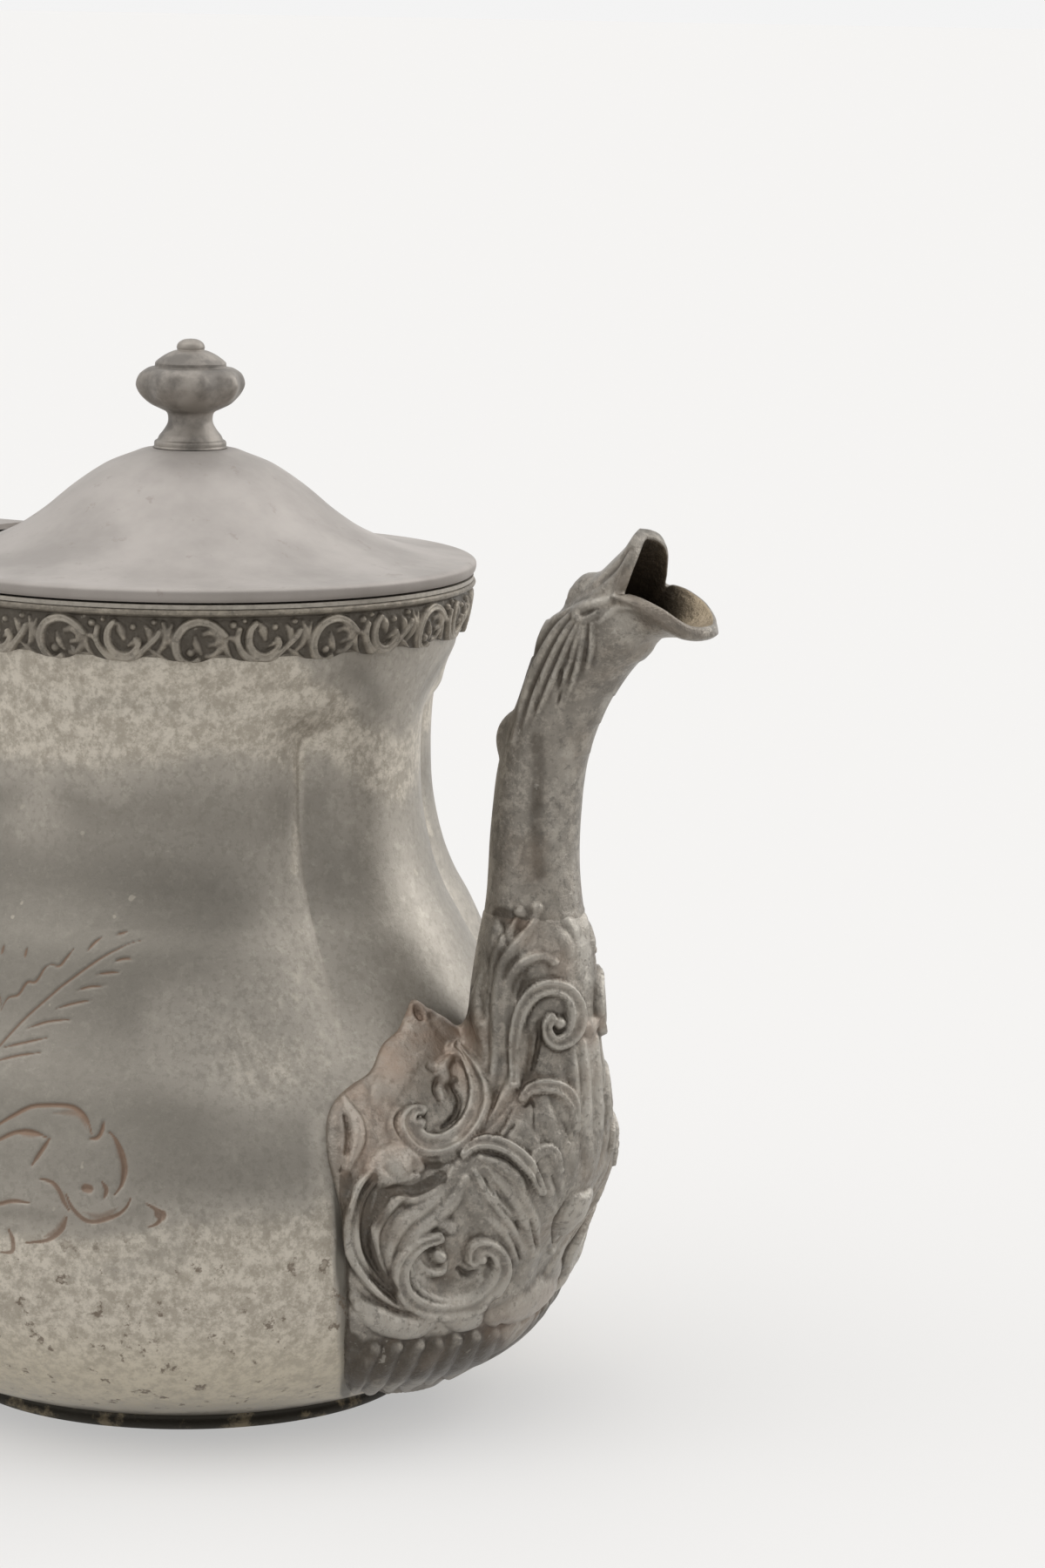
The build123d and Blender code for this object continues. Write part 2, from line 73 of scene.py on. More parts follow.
RIGHT, UP, FORWARD = camera_axes()
CAMERA_PLACE = np.array([
    CAMERA_DISTANCE * math.cos(SPOUT_AZIMUTH), -CAMERA_DISTANCE * math.sin(SPOUT_AZIMUTH), CAMERA_HEIGHT,
])


def picture_point(points):
    """Where points of the near half fall in the 1200 by 1800 picture; the far half is mirrored onto it."""
    near = np.stack([points[..., 0], -np.abs(points[..., 1]), points[..., 2]], -1)
    ray = near - CAMERA_PLACE
    depth = ray @ FORWARD
    x = PICTURE_CENTRE[0] + FOCAL_PIXELS * (ray @ RIGHT) / depth
    y = PICTURE_CENTRE[1] - FOCAL_PIXELS * (ray @ UP) / depth
    return x, y


def smooth_line(points, steps):
    """Catmull-Rom curve through points of any dimension."""
    p = np.asarray(points, float)
    p = np.concatenate([2 * p[:1] - p[1:2], p, 2 * p[-1:] - p[-2:-1]])
    t = np.linspace(0, 1, steps, endpoint=False)[:, None]
    runs = []
    for a, b, c, d in zip(p[:-3], p[1:-2], p[2:-1], p[3:]):
        bend, twist = 2 * a - 5 * b + 4 * c - d, 3 * b - a - 3 * c + d
        runs.append(0.5 * (2 * b + (c - a) * t + bend * t**2 + twist * t**3))
    return np.concatenate(runs + [p[-2:-1]])


def ease(value):
    """Smooth step from 0 to 1."""
    value = np.clip(value, 0.0, 1.0)
    return value * value * (3 - 2 * value)


def tapered(width, way, taper, steepness):
    """Reach of a stroke that loses the two shares in taper towards its start and its end."""
    return width * (1 - taper[0] * (1 - ease(way * steepness)) - taper[1] * (1 - ease((1 - way) * steepness)))


# Steps between two points of a stroke
STROKE_STEPS = 6
STAIN_STEPS = 5


class Relief:
    """Height drawn with strokes over a flat area, then read off at any point of it."""

    def __init__(self, x0, y0, x1, y1, step, spread=1.0):
        self.x0, self.y0, self.step, self.spread = x0, y0, step, spread
        self.height = np.zeros((int((y1 - y0) / step) + 1, int((x1 - x0) / step) + 1), np.float32)

    def near(self, line, reach):
        """Window of the area within reach of a line, with the distance to it and the way along it."""
        rows, columns = self.height.shape
        low = np.floor((line.min(0) - reach - (self.x0, self.y0)) / self.step).astype(int)
        high = np.ceil((line.max(0) + reach - (self.x0, self.y0)) / self.step).astype(int) + 1
        low = np.clip(low, 0, (columns, rows))
        high = np.clip(high, low, (columns, rows))
        gx = self.x0 + np.arange(low[0], high[0]) * self.step
        gy = self.y0 + np.arange(low[1], high[1]) * self.step
        x, y = np.meshgrid(gx, gy)
        best = np.full(x.shape, 1e9)
        way = np.zeros(x.shape)
        legs = np.diff(line, axis=0)
        total = max(1, len(legs))
        for number, (start, leg) in enumerate(zip(line[:-1], legs)):
            dx, dy = x - start[0], y - start[1]
            along = np.clip((dx * leg[0] + dy * leg[1]) / max(leg @ leg, 1e-9), 0, 1)
            d = np.hypot(dx - along * leg[0], dy - along * leg[1])
            closer = d < best
            best = np.where(closer, d, best)
            way = np.where(closer, (number + along) / total, way)
        return (slice(low[1], high[1]), slice(low[0], high[0])), best, way

    def ridge(self, points, width, height, taper=(0.0, 0.0)):
        """Rounded ridge; taper gives how much of its width is lost at its start and end."""
        width = width * self.spread
        window, d, way = self.near(smooth_line(points, STROKE_STEPS), width)
        reach = tapered(width, way, taper, 2.5)
        share = np.clip(1 - (d / np.maximum(reach, 1e-6)) ** 2, 0, 1)
        rise = height * share**0.8 * (reach / width)
        self.height[window] = np.maximum(self.height[window], rise)

    def cut(self, points, width, depth, taper=(0.5, 0.5)):
        """V groove."""
        window, d, way = self.near(smooth_line(points, STROKE_STEPS), width)
        share = np.clip(1 - d / np.maximum(tapered(width, way, taper, 3), 1e-6), 0, 1)
        self.height[window] -= depth * ease(share)

    def band(self, points, width, height, rim=0.35, dish=0.45, taper=(0.3, 0.3)):
        """Scroll band with raised rims and a dished middle."""
        width = width * (1 + self.spread) / 2
        window, d, way = self.near(smooth_line(points, STROKE_STEPS), width)
        share = d / np.maximum(tapered(width, way, taper, 3), 1e-6)
        wall = np.sqrt(np.clip(1 - share**2, 0, 1))
        hollow = dish * np.exp(-((share / (1 - rim)) ** 2) * 2)
        rise = np.where(share < 1, height * (np.minimum(1, wall * 1.35) - hollow), 0)
        self.height[window] = np.maximum(self.height[window], rise)

    def boss(self, centre, radius, height):
        """Round knob."""
        window, d, _ = self.near(np.array([centre, centre], float) + [[0, 0], [1e-3, 0]], radius)
        rise = height * np.sqrt(np.clip(1 - (d / radius) ** 2, 0, 1))
        self.height[window] = np.where(d < radius, np.maximum(self.height[window], rise), self.height[window])

    def hatch(self, x0, y0, x1, y1, slope, pitch, depth):
        """Fine parallel lines over an area."""
        half = (y1 - y0) / 2
        window, d, _ = self.near(np.array([[x0, (y0 + y1) / 2], [x1, (y0 + y1) / 2]], float), half)
        y, x = np.mgrid[window]
        wave = 0.5 + 0.5 * np.cos(2 * np.pi * (x * self.step + slope * y * self.step) / pitch)
        self.height[window] -= depth * wave * ease((1 - d / half) * 3)

    def stain(self, points, width, amount):
        """Adds a soft-edged amount along a line; a negative one takes away."""
        window, d, _ = self.near(smooth_line(points, STAIN_STEPS), width)
        self.height[window] += amount * ease(1.25 * (1 - d / width))

    def hollows(self, reach):
        """How far each spot lies below its surroundings."""
        rows, columns = self.height.shape
        total = np.pad(self.height, ((reach + 1, reach), (reach + 1, reach)), mode="edge").cumsum(0).cumsum(1)
        span = 2 * reach + 1
        mean = total[span:, span:] - total[:-span, span:] - total[span:, :-span] + total[:-span, :-span]
        other = Relief(self.x0, self.y0, self.x0, self.y0, self.step)
        other.height = mean[:rows, :columns] / span**2 - self.height
        return other

    def soften(self, turns):
        """Blurs the height a little."""
        for _ in range(turns):
            h = np.pad(self.height, 1, mode="edge")
            h = (h[:-2] + 2 * h[1:-1] + h[2:]) / 4
            self.height = (h[:, :-2] + 2 * h[:, 1:-1] + h[:, 2:]) / 4

    def read(self, x, y):
        """Height at points."""
        u = np.clip((x - self.x0) / self.step, 0, self.height.shape[1] - 1.001)
        v = np.clip((y - self.y0) / self.step, 0, self.height.shape[0] - 1.001)
        i, j = u.astype(int), v.astype(int)
        fu, fv = u - i, v - j
        h = self.height
        top = h[j, i] * (1 - fu) + h[j, i + 1] * fu
        low = h[j + 1, i] * (1 - fu) + h[j + 1, i + 1] * fu
        return top * (1 - fv) + low * fv


def set_values(mesh, values):
    """Named numbers at the points of a mesh."""
    for key, value in values.items():
        layer = mesh.attributes.new(key, "FLOAT", "POINT")
        layer.data.foreach_set("value", np.asarray(value, np.float32).ravel())


def make_mesh(name, points, quads, values=None):
    """Smooth mesh object from points in millimetres and corner numbers, with one value at each point."""
    points = np.asarray(points, np.float32).reshape(-1, 3)
    quads = np.asarray(quads, np.int32)
    sides = quads.shape[1]
    mesh = bpy.data.meshes.new(name)
    mesh.vertices.add(len(points))
    mesh.vertices.foreach_set("co", (points * MM).ravel())
    mesh.loops.add(quads.size)
    mesh.loops.foreach_set("vertex_index", quads.ravel())
    mesh.polygons.add(len(quads))
    mesh.polygons.foreach_set("loop_start", np.arange(0, quads.size, sides, dtype=np.int32))
    mesh.polygons.foreach_set("loop_total", np.full(len(quads), sides, np.int32))
    mesh.update(calc_edges=True)
    mesh.validate()
    mesh.polygons.foreach_set("use_smooth", np.ones(len(mesh.polygons), bool))
    set_values(mesh, values or {})
    obj = bpy.data.objects.new(name, mesh)
    bpy.context.scene.collection.objects.link(obj)
    return obj


def grid_quads(rows, columns):
    """Corner numbers of a grid whose columns run round."""
    i = np.arange(rows - 1)[:, None]
    j = np.arange(columns)[None, :]
    k = (j + 1) % columns
    corners = [i * columns + j, i * columns + k, (i + 1) * columns + k, (i + 1) * columns + j]
    return np.stack(corners, -1).reshape(-1, 4)


def grid_normals(points):
    """Normals of a grid (rows, columns, 3) whose columns run round."""
    down = np.gradient(points, axis=0)
    across = np.roll(points, -1, 1) - np.roll(points, 1, 1)
    normal = np.cross(across, down)
    return normal / np.maximum(np.linalg.norm(normal, axis=-1, keepdims=True), 1e-9)


# Body: outline at a panel's middle as (height, radius)
BODY_OUTLINE = [
    (BODY_FOOT, 41.6), (4.0, 44.5), (8, 53), (14, 60.5), (22, 65.4), (32, 67.7), (42, 67.6), (52, 65),
    (60, 61.2), (70, 56), (82, 50.4), (88, 47.1), (94, 44.8), (102, 43.1), (110, 42.6), (117, 42.8),
    (122, 43.5), (126, 44.5), (130, 46.0), (136, 46.2), (BODY_TOP, 46.2),
]
outline_points = smooth_line(BODY_OUTLINE, 12)
# Panels: azimuth and depth of the creases, bulge of the wide panels, and top of the arches
CREASE = 28.5
CREASE_DEPTH = 3.7
PANEL_BULGE = 1.6
ARCH_HEIGHT = 119.0
ARCH_RISE = 6.0


def body_radius(z):
    """Radius of the body at a panel's middle."""
    return np.interp(z, outline_points[:, 0], outline_points[:, 1])


def crease_share(azimuth):
    """0 in the middle of a panel, 1 in a crease; it rises later on the wide panels."""
    a = np.abs((azimuth + 180) % 360 - 180)
    narrow = np.minimum(a, 180 - a) / CREASE
    wide = np.abs(a - 90) / (90 - CREASE)
    return np.where((a < CREASE) | (a > 180 - CREASE), narrow**2, wide**5)


def body_surface(azimuth, z):
    """Radius of the panelled body."""
    share = crease_share(azimuth)
    wide = np.abs(np.abs((azimuth + 180) % 360 - 180) - 90) < 90 - CREASE
    arch = ARCH_HEIGHT + ARCH_RISE * (1 - share**0.75)
    fade = ease((z - 61) / 24) * (1 - ease((z - arch + 4.0) / 8.0))
    return body_radius(z) + (np.where(wide, PANEL_BULGE * (1 - share), 0) - CREASE_DEPTH * share) * fade


def on_body(azimuth, z, radius):
    """Points at an azimuth in degrees, a height and a radius."""
    a = np.radians(azimuth)
    return np.stack([radius * np.cos(a), radius * np.sin(a), z + 0 * radius], -1)


# Engraving beside the near panel's middle, in picture pixels: a fern over a scrolled flower
engraving = Relief(-60, 1050, 280, 1490, 0.8)
FERN_STEM = [(166, 1079), (150, 1083), (135, 1090), (118, 1099), (100, 1111), (85, 1122), (70, 1133),
             (55, 1146),
             (40, 1159), (25, 1173), (10, 1189), (-5, 1206), (-20, 1224)]
FERN_LEAVES = [
    [(131, 1104), (142, 1101), (154, 1101)], [(110, 1119), (124, 1117), (138, 1116)],
    [(89, 1137), (103, 1133), (122, 1132)], [(64, 1158), (85, 1152), (106, 1148)],
    [(30, 1181), (55, 1173), (84, 1170)], [(2, 1203), (28, 1197), (56, 1191)],
    [(-8, 1219), (20, 1212), (48, 1208)], [(0, 1162), (9, 1146), (21, 1142), (31, 1128), (41, 1127),
                                           (51, 1112), (58, 1107)],
                                           [(58, 1107), (68, 1109), (76, 1100), (84, 1090)],
                                           [(100, 1092), (108, 1083), (117, 1076)],
                                           [(134, 1073), (146, 1070)], [(28, 1100), (31, 1088)],
]
FLOWER_LINES = [
    [(-12, 1300), (0, 1290), (15, 1281), (35, 1271), (55, 1269), (80, 1270), (93, 1277), (101, 1288),
     (105, 1302)], [(103, 1308), (112, 1306), (117, 1298), (119, 1288)],
     [(126, 1300), (134, 1310), (140, 1325), (143, 1340), (142, 1352), (138, 1363), (131, 1372)],
     [(150, 1376), (145, 1386), (136, 1394), (122, 1400), (108, 1403), (96, 1400), (86, 1391), (80, 1382),
      (76, 1372)], [(46, 1353), (60, 1358), (68, 1368), (73, 1380), (79, 1390)],
      [(-10, 1313), (0, 1308), (15, 1301), (28, 1299), (42, 1301), (53, 1306)],
      [(57, 1307), (47, 1322), (36, 1338)], [(76, 1398), (72, 1410), (62, 1420), (50, 1425), (29, 1427)],
      [(-10, 1384), (0, 1382), (15, 1379), (33, 1381)], [(9, 1411), (14, 1424), (13, 1437), (0, 1438)],
      [(117, 1357), (122, 1366), (119, 1376)],
      [(168, 1382), (178, 1388), (186, 1396), (180, 1405), (170, 1409)],
]
FLOWER_SHADING = [
    [(131, 1308), (142, 1335), (140, 1362)], [(96, 1392), (116, 1396), (136, 1386)],
    [(60, 1278), (90, 1280), (100, 1298)], [(20, 1300), (45, 1304)], [(50, 1420), (66, 1412), (74, 1396)],
]
PITS = [(206, 1435, 6), (245, 1455, 4.5), (274, 1457, 4), (184, 1394, 7), (100, 1364, 8)]
engraving.cut(FERN_STEM, 2.8, 0.17, (0.7, 0.1))
for leaf in FERN_LEAVES:
    engraving.cut(leaf, 2.8, 0.19, (0.7, 0.7))
for line in FLOWER_LINES:
    engraving.cut(line, 3.4, 0.2, (0.6, 0.65))
    engraving.cut(line, 11, 0.05, (0.5, 0.5))
for line in FLOWER_SHADING:
    engraving.cut(line, 8, 0.09, (0.8, 0.8))
for x, y, size in PITS:
    engraving.cut([(x - 2, y), (x + 2, y + 1)], size, 0.3, (0, 0))


# Where the plate is worn light or stained dark, and painted light and shade, in picture pixels: soft strokes
patina_and_light = Relief(-80, 735, 620, 1650, 2.5)
# Painted light among them: a painted highlight along the crease's ridge and on the lower belly's right,
# along the casting's left edge and under its curled leaf.
# painted shade in the dark strip right of the crease and on the belly's underside, and painted shadow
PATINA_AND_LIGHT_STROKES = [
    ([(-80, 800), (20, 800), (120, 815), (230, 810), (330, 810)], 110, 1.25),
    ([(-80, 770), (330, 765)], 40, 0.3), ([(390, 830), (430, 870), (470, 890)], 62, 0.8),
    ([(500, 780), (495, 900), (520, 1010)], 45, 0.5), ([(-80, 1040), (60, 1045), (220, 1060)], 150, -0.65),
    ([(-80, 940), (40, 940)], 60, 0.25), ([(100, 890), (130, 905)], 30, 0.25),
    ([(85, 860), (92, 862)], 22, 0.4), ([(40, 768), (180, 766), (330, 785)], 16, -0.5),
    ([(150, 800), (90, 812)], 24, -0.4), ([(230, 870), (290, 872)], 26, -0.3),
    ([(360, 765), (400, 780), (420, 810)], 40, -0.7),
    ([(364, 830), (362, 960), (376, 1060), (402, 1140)], 30, -0.28),
    ([(393, 1350), (392, 1450), (397, 1596)], 13, -2.6), ([(384, 1270), (386, 1345)], 10, -0.5),
    ([(90, 905), (200, 915), (310, 930)], 62, -0.4), ([(380, 920), (400, 1020)], 40, -0.2),
    ([(342, 790), (343, 880), (338, 1000)], 9, 0.7), ([(340, 1090), (220, 1200), (350, 1230)], 85, 0.3),
    ([(-80, 1200), (60, 1205), (180, 1215)], 150, -0.5), ([(-80, 1550), (20, 1550)], 90, -0.45),
    ([(-60, 1310), (150, 1325), (250, 1325), (350, 1320)], 100, -0.5),
    ([(-80, 1470), (60, 1470), (180, 1462), (300, 1455), (400, 1450)], 95, 1.0),
    ([(-80, 1550), (200, 1550), (400, 1540)], 100, 1.1), ([(370, 1290), (374, 1420)], 24, 0.5),
    ([(-20, 1395), (90, 1408), (160, 1400)], 26, -0.5), ([(-80, 1480), (100, 1480), (200, 1440)], 40, -0.35),
    ([(-80, 1606), (200, 1616), (400, 1608)], 12, -0.7), ([(420, 1000), (450, 1100), (500, 1170)], 60, -0.25),
    ([(200, 1150), (300, 1230)], 60, 0.25), ([(300, 1500), (380, 1560)], 80, 0.9),
]
for line, width, amount in PATINA_AND_LIGHT_STROKES:
    patina_and_light.stain(line, width, amount)


def body_azimuths():
    """Columns round the body, close together at the engravings and the creases."""
    fine = np.arange(60.0, 120.01, 0.24)
    coarse = np.concatenate([
        np.arange(0, 7.7, 0.2), np.arange(8, 26, 0.9), np.arange(26, 34, 0.35), np.arange(34, 60, 0.7), fine,
        np.arange(120.6, 146, 0.7), np.arange(146, 154, 0.35), np.arange(154, 180, 0.9),
    ])
    return np.concatenate([coarse, [180.0], -coarse[:0:-1]])


# Strainer behind the spout: rows of holes as (side, height)
STRAINER = [((column - (count - 1) / 2) * 5.6, 44.0 + (row - 2) * 4.85)
            for row, count in enumerate((3, 2, 3, 2, 3)) for column in range(count)]
STRAINER_RADIUS = 1.6
HOLE_SIDES = 24


def pierce(points, quads):
    """Takes the strainer's holes out of the body's two skins and lines each with a short tube."""
    middle = points.reshape(-1, 3)[quads].mean(1)
    keep = np.ones(len(quads), bool)
    tubes, sides = [], []
    turn = np.linspace(0, 2 * np.pi, HOLE_SIDES, endpoint=False)
    for number, (side, height) in enumerate(STRAINER):
        away = np.hypot(middle[:, 1] - side, middle[:, 2] - height)
        keep &= (away > STRAINER_RADIUS) | (middle[:, 0] < 50)
        y, z = side + STRAINER_RADIUS * np.cos(turn), height + STRAINER_RADIUS * np.sin(turn)
        for wall in (0.0, BODY_WALL):
            tubes.append(np.stack([np.sqrt((body_radius(z) - wall) ** 2 - y**2), y, z], -1))
        sides.append(grid_quads(2, HOLE_SIDES) + points.size // 3 + 2 * HOLE_SIDES * number)
    return np.concatenate([points.reshape(-1, 3)] + tubes), np.concatenate([quads[keep]] + sides)


def make_body():
    """Outer skin, top edge and lining of the body as one shell, with the strainer's holes."""
    az = body_azimuths()[None, :]
    z = np.concatenate([
        np.linspace(BODY_FOOT, 16, 26)[:-1], np.linspace(16, 32, 24)[:-1], np.linspace(32, 90, 226)[:-1],
        np.linspace(90, BODY_TOP, 90),
    ])[:, None]
    radius = body_surface(az, z)
    skin = on_body(az, z + 0 * az, radius)
    folded = np.where(np.abs(az) > 90, 180 - np.abs(az), np.abs(az))
    twin = on_body(-folded, z + 0 * az, radius)
    x, y = picture_point(twin)
    depth = np.where((np.abs(az) > 58) & (np.abs(az) < 122), engraving.read(x, y), 0)
    dents = 0.10 * np.sin(np.radians(az) * 5 + z * 0.05) * np.sin(z * 0.09 + 1.1)
    away = np.stack([np.cos(np.radians(az)) + 0 * z, np.sin(np.radians(az)) + 0 * z, 0 * az + 0 * z], -1)
    skin = skin + away * (depth + dents * (z < 128))[..., None]
    low = np.concatenate([
        np.linspace(BODY_TOP, 56, 22)[:-1], np.linspace(56, 32, 80)[:-1], np.linspace(32, BASE_TOP, 14),
    ])[:, None]
    lining = on_body(az, low + 0 * az, body_surface(az, low) - BODY_WALL)
    base_edge = on_body(az, BODY_FOOT + 0 * az, BASE_RADIUS + 0 * az)[:1]
    inner_edge = on_body(az, BASE_TOP + 0 * az, BASE_RADIUS + 0 * az)[:1]
    points = np.concatenate([base_edge, skin, lining, inner_edge, base_edge])
    marks = np.concatenate([0 * az, depth, 0 * low + 0 * az, 0 * az, 0 * az])
    rows = len(points)
    # Wear and stains of the plate, with painted light and shade, read off the map for the finish
    wear_and_light = np.zeros((rows, az.shape[1]))
    # The painted shadow line beside the casting stays off the handle side, where the near half is mirrored
    least = -0.2 - 2.5 * ease((112 - np.abs(az)) / 16)
    wear_and_light[1:1 + len(z)] = np.maximum(patina_and_light.read(x, y), least)
    points, quads = pierce(points, grid_quads(rows, az.shape[1]))
    spare = np.zeros(len(points) - marks.size)
    values = {"mark": np.concatenate([marks.ravel(), spare]), "wear_and_light": np.concatenate([wear_and_light.ravel(), spare])}
    return make_mesh("body_vessel", points, quads, values)


# Collar: strokes of one pair of scrolls, in units of which the pair is 161 wide and the band 56 high
collar_tile = Relief(-40, -4, 201, 62, 0.6, 1.25)
PAIRS = 13
PAIR_WIDTH = 161.0
PAIR_SHIFT = 30
BAND_HEIGHT = 56.0
COLLAR_GROUND = 0.45
COLLAR_BANDS = [
    ([(33, 49), (25, 54), (16, 51), (10, 43), (8, 32), (11, 21), (18, 12), (28, 7), (38, 6), (48, 9),
      (57, 15), (64, 22)], 4.6), ([(99, 8), (93, 16), (91, 27), (94, 37), (102, 44), (112, 46), (121, 42),
                                   (127, 34), (124, 27)], 4.2),
                                   ([(80, 15), (78, 27), (82, 38), (92, 48), (104, 53), (117, 52), (128, 46),
                                     (138, 37), (147, 26), (151, 18)], 4.0),
]
COLLAR_RIDGES = [
    ([(30, 24), (32, 33), (37, 42)], 4.0), ([(43, 46), (52, 49), (59, 42), (62, 36)], 4.5),
    ([(40, 20), (50, 18), (58, 24), (56, 33), (47, 34)], 5.5),
    ([(66, 28), (65, 38), (69, 49), (76, 54)], 3.5), ([(66, 26), (73, 26), (79, 34)], 3.2),
    ([(104, 10), (107, 17), (110, 26)], 5.0), ([(115, 34), (121, 31), (128, 27)], 3.0),
    ([(135, 12), (140, 20), (139, 30)], 4.0), ([(155, 8), (158, 20), (156, 33), (150, 44)], 4.0),
    ([(4, 10), (1, 22), (3, 34)], 3.2), ([(140, 44), (148, 50), (158, 52)], 4.0),
]
COLLAR_BOSSES = [(25, 41, 5.0), (73, 10, 4.5), (121, 13, 4.0), (1, 21, 3.5), (145, 7, 3.6), (86, 5, 3.0)]
for shift in (-PAIR_WIDTH, 0.0, PAIR_WIDTH):
    for line, width in COLLAR_BANDS:
        collar_tile.band([(x + shift, y) for x, y in line], width, 1.05, dish=0.3)
    for line, width in COLLAR_RIDGES:
        collar_tile.ridge([(x + shift, y) for x, y in line], width, 0.7, (0.4, 0.4))
    for x, y, size in COLLAR_BOSSES:
        collar_tile.boss((x + shift, y), size, 0.8)
collar_tile.soften(3)

COLLAR_FACE = smooth_line([
    (46.6, 131.9), (47.1, 131.7), (47.5, 132.6), (48.0, 134.2), (48.35, 136.0), (48.45, 137.6), (48.3, 138.6),
    (48.25, 138.9),
], 12)
COLLAR_BEAD = [(48.6, 139.0), (49.05, 139.25), (49.2, 139.6), (49.1, 139.9), (48.8, 140.05)]


def make_collar():
    """Cast band under the lid: alternating scrolls below a plain bead, with a waved lower edge."""
    columns = PAIRS * 112
    az = np.linspace(-180, 180, columns, endpoint=False)[None, :]
    along = (az / 360 * PAIRS * PAIR_WIDTH + PAIR_SHIFT) % PAIR_WIDTH
    line = np.concatenate([COLLAR_FACE, COLLAR_BEAD])
    run = np.concatenate([[0], np.cumsum(np.hypot(*np.diff(line, axis=0).T))])
    rows = np.linspace(0, run[-1], 66)
    r = np.interp(rows, run, line[:, 0])[:, None] + 0 * az
    z = np.interp(rows, run, line[:, 1])[:, None] + 0 * az
    face_top = run[len(COLLAR_FACE) - 1]
    down = (face_top - rows)[:, None] / face_top * BAND_HEIGHT
    lift = collar_tile.read(along + 0 * down, down + 0 * along)
    lift = lift * ease((down + 1) / 3)
    wave = 0.55 * np.cos(2 * np.pi * (along - 22) / PAIR_WIDTH * 2)
    wave = wave + 0.2 * np.cos(2 * np.pi * (along - 80) / PAIR_WIDTH * 4)
    share = np.clip((136 - z) / 4.5, 0, 1)
    z = z - wave * share
    tall = lift * (down > 0)
    r = r - COLLAR_GROUND * (down > 0) * ease(down / 3) + tall
    face = on_body(az, z, r)
    back_top = on_body(az, BODY_TOP + 0 * az, 46.4 + 0 * az)
    back_low = on_body(az, 131.9 + 0 * az, 46.25 + 0 * az)
    points = np.concatenate([back_low, face, back_top, back_low])
    marks = np.concatenate([0 * az, tall - COLLAR_GROUND * (down > 0), 0 * az, 0 * az])
    return make_mesh("collar_scroll_band", points, grid_quads(len(points), columns), {"mark": marks})


def revolve(name, line, columns, lobes=None):
    """Ring or knob turned from (radius, height) points; lobes(r, z, azimuth) may change the radius."""
    line = np.asarray(line, float)
    az = np.linspace(-180, 180, columns, endpoint=False)[None, :]
    r, z = line[:, :1] + 0 * az, line[:, 1:] + 0 * az
    if lobes is not None:
        r = lobes(r, z, az)
    return make_mesh(name, on_body(az, z, r), grid_quads(len(line), columns))


LID_OUTLINE = [
    (6.2, 161.9), (8.0, 161.7), (9.9, 161.0), (13.7, 159.5), (16.3, 158.0), (18.5, 156.5), (20.5, 155),
    (22.3, 153.5), (24.3, 151.8), (26.6, 150.1), (29.2, 148.4), (32.2, 146.9), (36, 145.4), (40, 144.5),
    (44, 143.95), (47.2, 143.7), (48.5, 143.55), (49.15, 143.1), (49.25, 142.5), (49.1, 141.8), (48.7, 141.2),
]
LID_WALL = 1.2
# Points of the smoothed outline that belong to the rolled edge, which has no underside of its own
ROLLED_POINTS = 35


def make_lid():
    """Domed lid with a rolled edge and a plain underside."""
    top = smooth_line(LID_OUTLINE, 7)
    under = top[:-ROLLED_POINTS]
    tangent = np.gradient(under, axis=0)
    tangent /= np.linalg.norm(tangent, axis=1, keepdims=True)
    under = under + np.stack([tangent[:, 1], -tangent[:, 0]], 1) * LID_WALL
    hole_top, hole_low = [1.6, 161.9], [1.6, 160.7]
    line = np.concatenate([[hole_top], top, [[47.4, 141.15], [45.9, 141.6]], under[::-1],
                           [hole_low, hole_top]])
    return revolve("lid_dome", line, 300)


FINIAL_OUTLINE = [
    (0.05, 161.9), (5.9, 161.9), (6.15, 162.3), (6.1, 163.0), (5.6, 163.4), (5.3, 164.0), (4.6, 164.9),
    (3.95, 166.0), (3.8, 167.0), (4.1, 168.0), (5.2, 168.6), (7.0, 169.5), (8.6, 170.9), (9.4, 172.3),
    (9.4, 173.4), (8.8, 174.6), (7.4, 175.5), (6.3, 175.7), (6.1, 176.1), (6.0, 176.5), (5.2, 177.2),
    (4.1, 177.9), (3.0, 178.4), (2.35, 178.6), (2.4, 179.1), (2.1, 179.8), (1.2, 180.35), (0.05, 180.5),
]


def finial_lobes(r, z, az):
    """Eight soft lobes round the button."""
    share = np.exp(-((z - 172.7) / 2.5) ** 4)
    return r * (1 - 0.10 * share * np.abs(np.sin(np.radians(az) * 4)) ** 1.6)


def make_finial():
    """Turned knob with a lobed button."""
    return revolve("finial_lobed_knob", smooth_line(FINIAL_OUTLINE, 5), 192, finial_lobes)


def worn_edge(r, z, az):
    """Slight unevenness of the foot ring above its resting edge."""
    return r + 0.12 * np.sin(np.radians(az) * 9) * np.sin(np.radians(az) * 4 + 1) * (z > 0.3)


def make_foot():
    """Low ring with a worn, uneven edge."""
    line = smooth_line([
        (36.5, 3.2), (39.0, 3.3), (41.4, 3.7), (41.0, 3.2), (40.3, 2.6), (40.1, 2.0), (40.5, 1.3),
        (40.6, 0.8), (40.1, 0.2), (39.3, 0.0), (35.2, 0.0), (34.6, 0.5), (34.5, 3.1), (36.5, 3.2),
    ], 4)
    return revolve("foot_ring_worn", line, 360, worn_edge)


